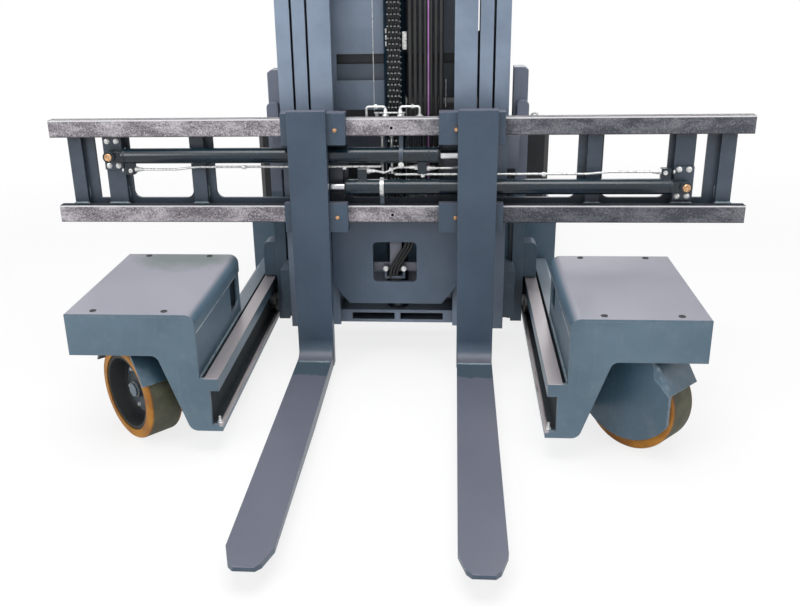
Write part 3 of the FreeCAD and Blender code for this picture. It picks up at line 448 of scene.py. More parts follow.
boxPaint = slatePaint("boxPaint", dict(paint, dark="1c1e21", light="26282b", dustAndTopLight="4a4a4c",
        rubbed="606060"))
barLow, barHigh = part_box("fork_bars")
barSteel = millSteel("barSteel", dict(bright="c4bec4", brightShaded="7a7c82", dull="7c777e", dullShaded="4c4f56",
        scale="38373c", arris="d6d4d6", lid="2c3039", shadedFrom=-0.15, shadedTo=0.45,
        tops=(barHigh.z, barLow.z + 0.060), depth=0.060, front=barLow.y, holeX=0.0, holeDrop=0.0335,
        holeRadius=0.0062))
rodChrome = machinedSteel("rodChrome", dict(dark="bec0c4", light="e1e2e4", bloomScale=18.0, grease=0.25,
        roughness=0.08, metal=1.0, grain=0.03))
rollerSteel = machinedSteel("rollerSteel", dict(dark="606062", light="8c8c8e", bloomScale=60.0, grease=0.6,
        roughness=0.28, metal=0.9, grain=0.1))
zinc = machinedSteel("zinc", dict(dark="c4c5c4", light="ecedec", bloomScale=120.0, grease=0.1,
        roughness=0.22, metal=0.55, grain=0.12))
bronze = machinedSteel("bronze", dict(dark="b0845c", light="e8c098", bloomScale=140.0, grease=0.2,
        roughness=0.26, metal=0.7, grain=0.12))
hubIron = castIron("hubIron", dict(dark="070c0e", light="11191b", edge="50585a"))
blackPlastic = mouldedPlastic("blackPlastic", dict(dark="161618", light="222224", edge="464648",
        roughness=0.48))
redPlastic = mouldedPlastic("redPlastic", dict(dark="961412", light="b01c18", edge="c85046", roughness=0.3))
darkGlass = mouldedPlastic("darkGlass", dict(dark="0a0c0f", light="0e1115", edge="1e2226", roughness=0.08))
chainSteel = machinedSteel("chainSteel", dict(dark="0e0f10", light="282a2c", crown="969a9a",
        bloomScale=200.0, grease=0.7, roughness=0.3, metal=0.6, grain=0.1))
rubber = hoseRubber("rubber", dict(dark="101011", light="222224"))
cableSheath = hoseRubber("cableSheath", dict(dark="96689e", light="b282ba"))
vinyl = seatVinyl("vinyl", dict(dark="161618", light="28282b"))
wheelLook = dict(amber="b87a04", amberDark="885202", amberBurnt="5c3206", tread="50503e",
                 treadDark="3c3d2f", treadLight="64624e", seamIn=0.0105)


def wheelSize(joint, node):
    # axle direction, middle, width and radius of a turned wheel, from its joint and its box
    found = [j for j in frame["joints"] if j["name"] == joint][0]
    axle = Vector(found["axis"]).normalized()
    low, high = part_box(node)
    across, height = abs(axle.x), high.z - low.z
    width = ((high.x - low.x) - height * math.sqrt(max(0.0, 1 - across * across))) / across
    return dict(axle=axle, centre=(low + high) / 2, width=width, radius=height / 2)


def treadShader(name, wheel):
    return castUrethane(name, dict(wheelLook, axle=tuple(wheel["axle"]), halfWidth=wheel["width"] / 2,
            middle=wheel["axle"].dot(wheel["centre"])))


wheels = {"left": wheelSize("left_wheel_spin", "left_load_tyre"),
          "right": wheelSize("right_wheel_spin", "right_load_tyre"),
          "drive": wheelSize("drive_spin", "drive_tyre")}
treads = {key: treadShader(key + "Tread", wheel) for key, wheel in wheels.items()}

finishes = {
    slate: ["main_frame", "rear_body", "motor_hood"],
    reachPaint: ["reach_frame"],
    framePaint: ["fork_frame", "cylinder_anchors"],
    platePaint: ["carriage_plate"],
    leftLegPaint: ["left_leg"],
    rightLegPaint: ["right_leg"],
    carrierPaint: ["left_wheel_carrier", "right_wheel_carrier"],
    coverPaint: ["left_leg_cover", "right_leg_cover"],
    forkPaint: ["left_fork", "right_fork"],
    mastPaint: ["outer_mast", "middle_mast", "inner_mast"],
    darkPaint: ["overhead_guard"],
    barrelPaint: ["reach_cylinder", "lift_cylinders", "free_lift_cylinder", "positioner_cylinders"],
    boxPaint: ["battery"],
    barSteel: ["fork_bars"],
    rodChrome: ["reach_rod", "lift_rods", "free_lift_head", "left_positioner_rod", "right_positioner_rod"],
    rollerSteel: ["reach_rollers", "middle_mast_rollers", "inner_mast_rollers", "carriage_rollers"],
    zinc: ["positioner_pipes"],
    hubIron: ["left_load_hub", "right_load_hub", "drive_hub", "drive_unit"],
    blackPlastic: ["seat_base", "control_console", "steering_wheel"],
    chainSteel: ["lift_chain"],
    rubber: ["mast_hoses"],
    vinyl: ["seat_cushion", "seat_backrest"],
    treads["left"]: ["left_load_tyre"],
    treads["right"]: ["right_load_tyre"],
    treads["drive"]: ["drive_tyre"],
}
for material, names in finishes.items():
    for nodeName in names:
        frame["nodes"][nodeName].material_slots[0].material = material
print("finishes on", sum(len(names) for names in finishes.values()), "nodes")


def turned(along):
    # a turn that stands Z along a direction
    return Vector((0, 0, 1)).rotation_difference(Vector(along)).to_matrix().to_4x4()


def lathe(profile, steps=24, closed=False):
    # (radius, height) points spun round Z
    shape = bmesh.new()
    verts = [shape.verts.new((radius, 0, height)) for radius, height in profile]
    pairs = list(zip(verts, verts[1:])) + ([(verts[-1], verts[0])] if closed else [])
    edges = [shape.edges.new(pair) for pair in pairs]
    bmesh.ops.spin(shape, geom=verts + edges, cent=(0, 0, 0), axis=(0, 0, 1), dvec=(0, 0, 0),
                   angle=math.tau, steps=steps, use_merge=True)
    bmesh.ops.remove_doubles(shape, verts=shape.verts, dist=1e-6)
    bmesh.ops.recalc_face_normals(shape, faces=shape.faces)
    return shape


def soften(shape, edges, offset, segments):
    # rounds edges off
    bmesh.ops.bevel(shape, geom=edges, offset=offset, segments=segments, profile=0.5, affect="EDGES",
                    material=-1)


def slab(size, eased=0.0, segments=2, at=(0, 0, 0)):
    # a plate with softened edges
    shape = bmesh.new()
    bmesh.ops.create_cube(shape, size=1.0, matrix=Matrix.Translation(at) @ Matrix.Diagonal((*size, 1.0)))
    if eased:
        soften(shape, shape.edges[:], eased, segments)
    return shape


def roundPlate(size, corner, thick, eased=0.0006):
    # flat plate in X and Y with rounded corners
    shape = bmesh.new()
    bmesh.ops.create_cube(shape, size=1.0, matrix=Matrix.Diagonal((*size, thick, 1.0)))
    upright = [e for e in shape.edges if abs(e.verts[0].co.z - e.verts[1].co.z) > thick / 2]
    soften(shape, upright, corner, 5)
    rim = [e for e in shape.edges if len(e.link_faces) == 2 and e.calc_face_angle(0) > 1.2]
    soften(shape, rim, eased, 1)
    return shape


def stamp(target, part, at=(0, 0, 0), along=(0, 0, 1), roll=0.0, material=0):
    # copies a small part into a piece, its Z along a direction
    mesh = bpy.data.meshes.new("stamp")
    part.to_mesh(mesh)
    mesh.transform(Matrix.Translation(at) @ turned(along) @ Matrix.Rotation(roll, 4, "Z"))
    if material:
        mesh.polygons.foreach_set("material_index", [material] * len(mesh.polygons))
    target.from_mesh(mesh)
    bpy.data.meshes.remove(mesh)


def hexHead(size, height=0.65, washer=True):
    # hexagon head with its corners turned off, on a washer; size is the thread in metres
    shape = bmesh.new()
    thick = 0.16 * size if washer else 0.0
    middle = thick + height * size / 2
    r, top = 0.93 * size, thick + height * size
    bmesh.ops.create_cone(shape, cap_ends=True, segments=6, radius1=r, radius2=r, depth=height * size,
                          matrix=Matrix.Translation((0, 0, middle)))
    rim = [e for e in shape.edges if min(v.co.z for v in e.verts) > top - 1e-6]
    soften(shape, rim, 0.1 * size, 2)
    if washer:
        r = 1.15 * size
        stamp(shape, lathe([(0, 0), (r, 0), (r, thick * 0.7), (1.08 * size, thick), (0, thick)], 20))
    return shape


def socketHead(size, height=1.0):
    # cap screw: a drum with a hole in its crown
    r, h = 0.75 * size, height * size
    return lathe([(0, 0), (r, 0), (r, h * 0.9), (r * 0.88, h), (r * 0.5, h), (r * 0.44, h * 0.92),
                  (r * 0.42, h * 0.35), (0, h * 0.3)], 18)


def strand(places, radius, sides, kind, caps=True):
    # a curve of round section through places
    curve = bpy.data.curves.new("strand", "CURVE")
    curve.dimensions = "3D"
    curve.bevel_depth, curve.bevel_resolution, curve.use_fill_caps = radius, sides, caps
    spline = curve.splines.new(kind)
    spline.points.add(len(places) - 1)
    for point, place in zip(spline.points, places):
        point.co = (*place, 1.0)
    return curve, spline


def tube(points, radius, bend=0.0, sides=3):
    # round bar through points; each corner is eased over the length bend
    line = [Vector(p) for p in points]
    eased = [line[0]]
    for before, here, after in zip(line, line[1:], line[2:]):
        if bend:
            eased.append(here + (before - here).normalized() * min(bend, (before - here).length * 0.45))
        eased.append(here)
        if bend:
            eased.append(here + (after - here).normalized() * min(bend, (after - here).length * 0.45))
    eased.append(line[-1])
    curve, spline = strand(eased, radius, sides, "NURBS" if bend else "POLY")
    if bend:
        spline.order_u, spline.use_endpoint_u, spline.resolution_u = 3, True, 3
    return fromCurve(curve)


def fromCurve(curve):
    thing = bpy.data.objects.new("bend", curve)
    mesh = bpy.data.meshes.new_from_object(thing)
    shape = bmesh.new()
    shape.from_mesh(mesh)
    bmesh.ops.remove_doubles(shape, verts=shape.verts, dist=1e-6)
    bmesh.ops.recalc_face_normals(shape, faces=shape.faces)
    bpy.data.objects.remove(thing)
    bpy.data.meshes.remove(mesh)
    bpy.data.curves.remove(curve)
    return shape


def weld(start, end, radius=0.004, pitch=0.005):
    # stacked ripples of a hand weld between two points
    start, end = Vector(start), Vector(end)
    count = max(4, int((end - start).length / pitch) * 2)
    places = []
    for i in range(count + 1):
        drift = 0.0006 * math.sin(i * 2.1) + 0.0004 * math.sin(i * 0.37)
        places.append(start.lerp(end, i / count) + Vector((drift, drift * 0.5, drift)))
    curve, spline = strand(places, radius, 1, "POLY")
    for i, point in enumerate(spline.points):
        taper = min(1.0, 0.35 + min(i / count, 1 - i / count) * count * 0.25)
        point.radius = (0.82 if i % 2 else 1.06) * taper
    return fromCurve(curve)


def fitting(target, at, along, size=0.018, length=0.030):
    # pipe union: collar, nut, cone
    r = size / 2
    stamp(target, hexHead(size * 0.62, 0.95, False), at, along, 0.3)
    body = lathe([(0, 0), (r * 0.82, 0), (r * 0.82, length * 0.55), (r * 0.74, length * 0.6),
                  (r * 0.74, length * 0.8), (r * 0.5, length), (0, length)], 16)
    stamp(target, body, at, along)


def addObject(name, data):
    thing = bpy.data.objects.new(name, data)
    bpy.context.scene.collection.objects.link(thing)
    return thing


def piece(name, shape, materials, body, smooth=38):
    mesh = bpy.data.meshes.new(name)
    shape.to_mesh(mesh)
    shape.free()
    for material in materials:
        mesh.materials.append(material)
    mesh.shade_smooth()
    mesh.set_sharp_from_angle(angle=math.radians(smooth))
    thing = addObject(name, mesh)
    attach(thing, body)
    return thing


back, front, above, rightward = Vector((0, 1, 0)), Vector((0, -1, 0)), Vector((0, 0, 1)), Vector((1, 0, 0))
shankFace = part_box("right_fork")[0].y + 1.25        # the fork shanks' front
upperZ = sum(corner.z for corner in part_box("right_positioner_rod")) / 2
lowerZ = sum(corner.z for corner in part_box("left_positioner_rod")) / 2
axisY = sum(corner.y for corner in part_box("right_positioner_rod")) / 2
anchorLow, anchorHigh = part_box("cylinder_anchors")
bracketFace = axisY + 0.017


def forkBolts(side, node, body):
    # pointed bronze bolts in the two hook blocks
    look = dict(size=0.0082, apart=0.304, leftIn=0.036, rightIn=0.058, drop=0.035, proud=0.022)
    low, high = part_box(node)
    inner = high.x - look["leftIn"] if side == "left" else low.x + look["rightIn"]
    hookFace = shankFace + look["proud"]
    shape = bmesh.new()
    head = hexHead(look["size"], 0.55, False)
    nipple = lathe([(0, 0), (0.0042, 0), (0.0042, 0.006), (0.0024, 0.008), (0.0034, 0.010), (0.0022, 0.013),
                    (0, 0.0135)], 12)
    for drop in (0.0, look["apart"]):
        at = (inner, hookFace, barHigh.z - look["drop"] - drop)
        stamp(shape, head, at, front)
        stamp(shape, nipple, (at[0], hookFace - 0.006, at[2]), front)
    return piece(side + "HookBolts", shape, [bronze], body)


def heelWeld(side, node, body):
    # a weld line over the heel
    look = dict(left=-0.284, right=0.292, half=0.0615, ahead=0.061, bladeThick=0.042, radius=0.0040,
                pitch=0.006)
    y, z = shankFace - look["ahead"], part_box(node)[0].z + look["bladeThick"]
    shape = weld((look[side] - look["half"], y, z), (look[side] + look["half"], y, z), look["radius"],
                 look["pitch"])
    return piece(side + "HeelWeld", shape, [weldPaint], body)


weldPaint = slatePaint("weldPaint", dict(paint, dark="627682", light="7e929c", wear=0.9, rubbed="b0bec4",
        hollowShadeAmount=0.4, coat=0.4))
for trim in (forkBolts, heelWeld):
    for side in ("left", "right"):
        trim(side, side + "_fork", side + "_fork_slide")


def anchorBolts():
    # each bracket's screws, two over its pin and two under it, small ones at its end; then the pins
    look = dict(size=0.0088, turn=0.4, pinRadius=0.0135, pinProud=0.007, pinX=0.997, small=0.010,
                smallZ=0.050, sideX=0.954, faceX=0.925)
    spots = [(x, z) for across, levels in (
                 ((anchorLow.x + 0.016, anchorLow.x + 0.049), (upperZ + 0.049, upperZ - 0.038)),
                 ((anchorHigh.x - 0.051, anchorHigh.x - 0.018), (lowerZ + 0.054, lowerZ - 0.039)))
             for z in levels for x in across]
    zincPart = bmesh.new()
    head = hexHead(look["size"], 0.55)
    for i, (x, z) in enumerate(spots):
        stamp(zincPart, head, (x, bracketFace, z), front, i * look["turn"])
    small = socketHead(look["small"], 0.5)
    for side, z in ((-1, upperZ - look["smallZ"]), (1, lowerZ + look["smallZ"])):
        stamp(zincPart, small, (side * look["sideX"], axisY, z), Vector((side, 0, 0)))
        stamp(zincPart, small, (side * look["faceX"], axisY - 0.013, z), front)
    piece("anchorBolts", zincPart, [zinc], "lift_carriage")
    pins = bmesh.new()
    r, proud = look["pinRadius"], look["pinProud"]
    pin = lathe([(0, 0), (r, 0), (r, proud - 0.002), (r - 0.002, proud), (r * 0.45, proud),
                 (r * 0.35, proud - 0.002), (0, proud - 0.0025)], 28)
    for side, z in ((-1, upperZ), (1, lowerZ)):
        stamp(pins, pin, (side * look["pinX"], axisY - 0.025, z), front)
    return piece("anchorPins", pins, [bronze], "lift_carriage")


def cylinderEnds():
    # wiper, two turned rings and the end weld of both fork cylinders
    look = dict(gland=0.027, rod=0.0165, end=0.162, closed=0.953)
    dark = bmesh.new()
    g, rod = look["gland"], look["rod"]
    wiper = lathe([(rod, 0), (g - 0.002, 0), (g - 0.002, 0.003), (rod + 0.004, 0.0055), (rod, 0.0055)], 36,
                  True)
    ring = lathe([(g - 0.0005, 0), (g + 0.0012, 0.0008), (g + 0.0012, 0.0042), (g - 0.0005, 0.005)], 40,
                 True)
    seam = lathe([(g - 0.001, 0), (g + 0.0018, 0.002), (g + 0.0022, 0.004), (g + 0.0012, 0.006),
                  (g - 0.001, 0.007)], 40, True)
    for side, z in ((1, upperZ), (-1, lowerZ)):
        along = Vector((side, 0, 0))
        stamp(dark, wiper, (side * look["end"], axisY, z), along, 0, 1)
        stamp(dark, ring, (side * (look["end"] - 0.036), axisY, z), along)
        stamp(dark, ring, (side * (look["end"] - 0.006), axisY, z), along)
        stamp(dark, seam, (-side * (look["closed"] - 0.005), axisY, z), along)
    return piece("cylinderEnds", dark, [barrelPaint, blackPlastic], "lift_carriage")


def forkPipes():
    # zinc pipes of the fork cylinders with their unions, clips and the two risers to the arches
    look = dict(radius=0.0042, bend=0.022, portReach=0.064, portIn=0.913, behind=0.035)
    r, reach, portIn = look["radius"], look["portReach"], look["portIn"]
    upperLeft, lowerRight = upperZ - reach + 0.016, lowerZ + reach - 0.013
    upperPipe, lowerPipe = lowerZ + reach + 2 * 0.004, upperZ - reach - 0.004
    crossLow, crossHigh = lowerZ + reach - 0.008, upperZ - 0.043
    y = axisY
    stub = crossHigh - 0.003
    routes = [
        [(-portIn, y, upperLeft), (-0.760, y, upperLeft), (-0.690, y, upperPipe), (-0.066, y, upperPipe),
         (-0.040, y, upperPipe), (-0.034, y + 0.034, upperPipe + 0.010)],
        [(portIn, y, lowerRight), (0.740, y, lowerRight), (0.670, y, lowerPipe), (0.036, y, lowerPipe),
         (0.010, y, lowerPipe), (0.004, y + 0.034, lowerPipe - 0.002)],
        [(-0.088, y, crossLow), (-0.056, y, crossLow), (-0.026, y, crossLow - 0.006), (0.016, y, crossHigh),
         (0.088, y, crossHigh)],
        [(0.120, y, stub), (0.215, y, stub), (0.240, y + 0.03, stub)],
    ]
    shape = bmesh.new()
    for route in routes:
        stamp(shape, tube(route, r, look["bend"]))
    for x, z, way in ((-portIn, upperLeft, 1), (portIn, lowerRight, -1), (-0.088, crossLow, 1),
                      (0.088, crossHigh, -1), (0.120, stub, 1)):
        fitting(shape, (x, y, z), rightward * way)
    band = slab((0.014, 0.018, 0.013), 0.003)
    for x, z in ((-0.166, upperPipe - 0.003), (0.106, lowerPipe - 0.003), (-0.004, crossLow + 0.006),
                 (-0.520, upperPipe - 0.001), (0.520, lowerPipe - 0.001)):
        stamp(shape, band, (x, y - 0.001, z))
    behind = y + look["behind"]
    for x in (-0.036, -0.003):
        stamp(shape, tube([(x, behind, barHigh.z - 0.050), (x, behind, lowerPipe - 0.005)], r))
        fitting(shape, (x, behind, barHigh.z - 0.062), -above, 0.016, 0.020)
    pipes = piece("forkPipes", shape, [zinc], "lift_carriage")
    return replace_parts(pipes, "positioner_pipes")


def archPipes():
    # two bent pipes that stand over the top bar beside the chain, on a zinc strip
    look = dict(radius=0.0042, bend=0.017, base=0.012, rise=0.031, strip=(0.106, 0.020, 0.003),
                post=(0.010, 0.012, 0.024))
    y, base, top = barHigh.y + 0.010, barHigh.z - look["base"], barHigh.z + look["rise"]
    shape = bmesh.new()
    for outer, inner, way in ((-0.087, -0.022, -1), (0.095, 0.029, 1)):
        low = base + 0.002
        arch = [(outer, y, low), (outer, y, top), (inner, y, top), (inner, y, low)]
        stamp(shape, tube(arch, look["radius"], look["bend"]))
        fitting(shape, (inner, y, base + 0.006), above, 0.019, 0.030)
        fitting(shape, ((outer + inner) / 2 + 0.004, y, top), rightward * way, 0.014, 0.016)
    foot = lathe([(0, 0), (0.012, 0), (0.012, 0.003), (0.006, 0.006), (0.006, 0.010), (0, 0.010)], 16)
    stamp(shape, foot, (0.095, y, base + 0.010), above)
    stamp(shape, slab(look["strip"], 0.0008, 1, (-0.0075, y + 0.001, barHigh.z + 0.011)))
    for x in (-0.052, 0.037):
        stamp(shape, slab(look["post"], 0.001, 1, (x, y + 0.004, barHigh.z - 0.001)))
    return piece("archPipes", shape, [zinc], "lift_carriage")


def strapBolts():
    # a clamp screw with its lug under the upper barrel, a bright band round the lower one
    look = dict(size=0.009, lug=(0.012, 0.020, 0.012), screwX=0.032, drop=0.031, bandX=-0.036)
    x, z = look["screwX"], upperZ - look["drop"]
    shape = bmesh.new()
    stamp(shape, slab(look["lug"], 0.002), (x, axisY - 0.016, z))
    stamp(shape, hexHead(look["size"], 0.6), (x, axisY - 0.026, z), front)
    bright = lathe([(0.0278, -0.0072), (0.0328, -0.0066), (0.0330, 0.0066), (0.0278, 0.0072)], 40, True)
    stamp(shape, bright, (look["bandX"], axisY, lowerZ), rightward)
    return piece("strapBolts", shape, [zinc], "lift_carriage")


def frameWelds():
    # fillets where the ribs stand on the lower bar
    look = dict(ribs=((0.176, 0.224), (0.668, 0.716), (0.961, 1.028), (1.111, 1.160)), past=0.004,
                foot=0.0065, leg=0.003)
    y, z = barHigh.y + 0.012, barLow.z + 0.060
    shape = bmesh.new()
    for low, high in look["ribs"]:
        for side in (-1, 1):
            a, b = side * (low - look["past"]), side * (high + look["past"])
            stamp(shape, weld((a, y, z - 0.003), (b, y, z - 0.003), look["foot"]))
            for x in (side * low, side * high):
                stamp(shape, weld((x, y + 0.026, z + 0.010), (x, y + 0.026, z + 0.055), look["leg"]))
    return piece("frameWelds", shape, [weldPaint], "lift_carriage")


for build in (anchorBolts, cylinderEnds, forkPipes, archPipes, strapBolts, frameWelds):
    build()
print("fork frame fitted out")


chainLow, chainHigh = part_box("lift_chain")
hoseLow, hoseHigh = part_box("mast_hoses")
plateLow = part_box("carriage_plate")[0]


def leafChain():
    # leaf chain: waisted plates in packs that take turns, on riveted pins
    look = dict(pitch=0.0196, plate=0.0058, gap=0.0125, deep=0.020, waist=0.010, pinRadius=0.0042)
    middle = (chainLow + chainHigh) / 2
    width = chainHigh.x - chainLow.x
    half, pitch = look["plate"] / 2, look["pitch"]
    outline, lobe = [], look["deep"] / 2
    for end in (1, -1):
        for degrees in (-60, -20, 20, 60):
            angle = math.radians(degrees + (90 if end > 0 else 270))
            outline.append((lobe * math.cos(angle), end * pitch / 2 + lobe * math.sin(angle)))
        outline.append((-end * look["waist"] / 2, 0))
    plate = bmesh.new()
    plate.faces.new([plate.verts.new((-half, y, z)) for y, z in outline])
    raised = bmesh.ops.extrude_face_region(plate, geom=plate.faces[:])["geom"]
    corners = [v for v in raised if isinstance(v, bmesh.types.BMVert)]
    bmesh.ops.translate(plate, verts=corners, vec=(2 * half, 0, 0))
    bmesh.ops.recalc_face_normals(plate, faces=plate.faces)
    pin = lathe([(0, 0), (look["pinRadius"], 0.0005), (look["pinRadius"], width - 0.0005), (0, width)], 8)
    shape = bmesh.new()
    rows = int((chainHigh.z - chainLow.z) / pitch)
    for row in range(rows):
        z = chainLow.z + pitch * (row + 0.75)
        stamp(shape, pin, (chainLow.x, middle.y, z - pitch / 2), rightward)
        first = chainLow.x + (0.0035 if row % 2 else 0.0035 + look["gap"] / 2)
        while first < chainHigh.x - 0.003:
            stamp(shape, plate, (first, middle.y, z))
            first += look["gap"]
    chain = piece("leafChain", shape, [chainSteel], "lift_carriage", 30)
    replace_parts(chain, "lift_chain")
    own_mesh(chain)
    return chain


def mastHoses():
    # round hoses side by side, each with a crimped sleeve at its foot, and one thin sheathed cable
    look = dict(radius=0.0080, count=7, cableRadius=0.0028, cableAt=0.122)
    y = (hoseLow.y + hoseHigh.y) / 2
    pitch = (hoseHigh.x - hoseLow.x - 2 * look["radius"]) / (look["count"] - 1)
    shape = bmesh.new()
    r = look["radius"]
    sleeve = lathe([(r, 0), (0.0092, 0.001), (0.0092, 0.034), (0.0086, 0.038), (r, 0.038)], 16, True)
    for i in range(look["count"]):
        x = hoseLow.x + r + pitch * i
        stamp(shape, tube([(x, y, hoseLow.z), (x, y, hoseHigh.z)], r - 0.0002))
        stamp(shape, sleeve, (x, y, hoseLow.z + 0.002), above, 0, 1)
    hoses = piece("mastHoses", shape, [rubber, zinc], "lift_carriage")
    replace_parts(hoses, "mast_hoses")
    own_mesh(hoses)
    x = look["cableAt"]
    run = tube([(x, y - 0.011, hoseLow.z), (x, y - 0.011, hoseHigh.z - 0.06)], look["cableRadius"])
    cable = piece("mastCable", run, [cableSheath], "lift_carriage")
    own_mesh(cable)
    return hoses


def mastTrim():
    # things on the inner stage near the chain: cable clips, two signal wires, bolts of the ties
    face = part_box("free_lift_cylinder")[0].y
    shape = bmesh.new()
    stamp(shape, slab((0.016, 0.006, 0.060), 0.0015), (0.0385, face + 0.004, 1.170))
    lump = slab((0.0055, 0.010, 0.016), 0.002)
    for z in (1.160, 1.181, 1.203):
        stamp(shape, lump, (-0.0255, face + 0.006, z))
    piece("cableClips", shape, [zinc], "inner_stage")
    wires = bmesh.new()
    runs = ((-0.069, face - 0.022, 0.935, 2.330, 0.0012), (0.182, -0.050, 0.93, 1.030, 0.0022))
    for x, y, foot, top, r in runs:
        stamp(wires, tube([(x, y, foot), (x, y, top)], r, 0, 1))
    piece("signalWires", wires, [zinc], "inner_stage")
    side = bmesh.new()
    head = hexHead(0.012, 0.6)
    for z in (2.31, 2.36):
        for x in (-0.15, -0.09, 0.09, 0.15):
            stamp(side, head, (x, -0.041, z), front)
            stamp(side, head, (x, -0.025, z), back)
    piece("tieBolts", side, [zinc], "inner_stage")


def windowParts():
    # behind the plate's window: a cross of flat bars, a hose bracket with two screws, a loop of hoses
    behind = plateLow.y + 0.016
    shape = bmesh.new()
    stamp(shape, slab((0.230, 0.007, 0.031), 0.001, 1, (-0.004, behind + 0.0265, plateLow.z + 0.1325)))
    stamp(shape, slab((0.044, 0.008, 0.200), 0.001, 1, (0.002, behind + 0.0185, plateLow.z + 0.2165)))
    piece("windowBars", shape, [lightSlate], "lift_carriage")
    bracket = bmesh.new()
    level = plateLow.z + 0.131
    for x in (-0.035, 0.032):
        stamp(bracket, slab((0.010, 0.024, 0.044), 0.0015, 1, (x, behind + 0.0095, level - 0.010)))
    stamp(bracket, slab((0.077, 0.024, 0.010), 0.0015, 1, (-0.0015, behind + 0.0095, level - 0.034)))
    head = hexHead(0.0085, 0.6)
    for x in (-0.035, 0.032):
        stamp(bracket, head, (x, behind - 0.0025, level), front, 0, 1)
    piece("hoseBracket", bracket, [framePaint, zinc], "lift_carriage")
    loop = bmesh.new()
    top = plateLow.z + 0.262
    for x, y in ((0.046, 0.001), (0.058, 0.004), (0.070, 0.007), (0.052, 0.0085)):
        bends = ((0.004, 0.004, 0.0), (-0.010, 0, 0.050), (-0.058, 0, 0.125), (-0.066, 0, 0.160),
                 (-0.050, 0.004, 0.185), (-0.036, 0.012, 0.215))
        stamp(loop, tube([(x + dx, behind + y + dy, top - drop) for dx, dy, drop in bends], 0.0060, 0.025))
    piece("windowHoses", loop, [rubber], "lift_carriage")


lightSlate = slatePaint("lightSlate", dict(paint, dark="707480", light="868894"))
for build in (leafChain, mastHoses, mastTrim, windowParts):
    build()
print("mast fitted out")


def legTrim(side, word):
    # cover screws, stop bolt in the channel, a black plate in the hole as its painted shade, welds of the
    # wheel box
    look = dict(screwX=(0.0965, 0.3155), screwY=(0.029, 0.571), stopAt=(0.012, 0.020, 0.022), wallIn=0.103,
                holeShade=(0.084, 0.098), seam=0.0035, seamPitch=0.008)
    coverLow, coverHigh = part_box(word + "_leg_cover")
    legLow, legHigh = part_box(word + "_leg")
    inner = min(abs(coverLow.x), abs(coverHigh.x))
    legInner = min(abs(legLow.x), abs(legHigh.x))
    screws = bmesh.new()
    head = lathe([(0, 0), (0.0098, 0), (0.0104, 0.0010), (0.0098, 0.0018), (0.0085, 0.0012),
                  (0.0062, 0.0012), (0.0050, 0.0005), (0, 0.0004)], 20)
    for dx in look["screwX"]:
        for dy in look["screwY"]:
            stamp(screws, head, (side * (inner + dx), coverLow.y + dy, coverHigh.z), above)
    piece(word + "CoverScrews", screws, [blackPlastic], "chassis")
    stop = bmesh.new()
    head = hexHead(0.0078, 0.7)
    stud = lathe([(0, 0), (0.0042, 0), (0.0042, 0.019), (0.0034, 0.0205), (0, 0.0205)], 14)
    dx, dy, dz = look["stopAt"]
    at = (side * (legInner + dx), legLow.y + dy, legLow.z + dz)
    stamp(stop, head, at, above)
    stamp(stop, stud, at, above)
    screw = hexHead(0.0075, 0.55)
    wall = side * (legInner + look["wallIn"])
    for y, z in ((-0.462, 0.372), (-0.395, 0.312)):
        stamp(stop, screw, (wall - side * 0.008, y, z), (-side, 0, 0))
    piece(word + "StopBolts", stop, [zinc], "chassis")
    # painted shade: a black plate standing for the dark inside the hole
    holeShade = bmesh.new()
    stamp(holeShade, roundPlate(look["holeShade"], 0.012, 0.008), (wall - side * 0.0045, -0.430, 0.342),
          (side, 0, 0))
    piece(word + "SwitchPlate", holeShade, [blackPlastic], "chassis")
    seams = bmesh.new()
    y, z = legLow.y + 0.012, legLow.z
    for dx, a, b in ((0.062, (y + 0.002, z + 0.173), (y + 0.560, z + 0.173)),
                     (0.064, (y + 0.001, z + 0.176), (y + 0.001, z + 0.318))):
        x = side * (legInner + dx)
        stamp(seams, weld((x, *a), (x, *b), look["seam"], look["seamPitch"]))
    piece(word + "LegWelds", seams, [weldPaint], "chassis")


legTrim(-1, "left")
legTrim(1, "right")


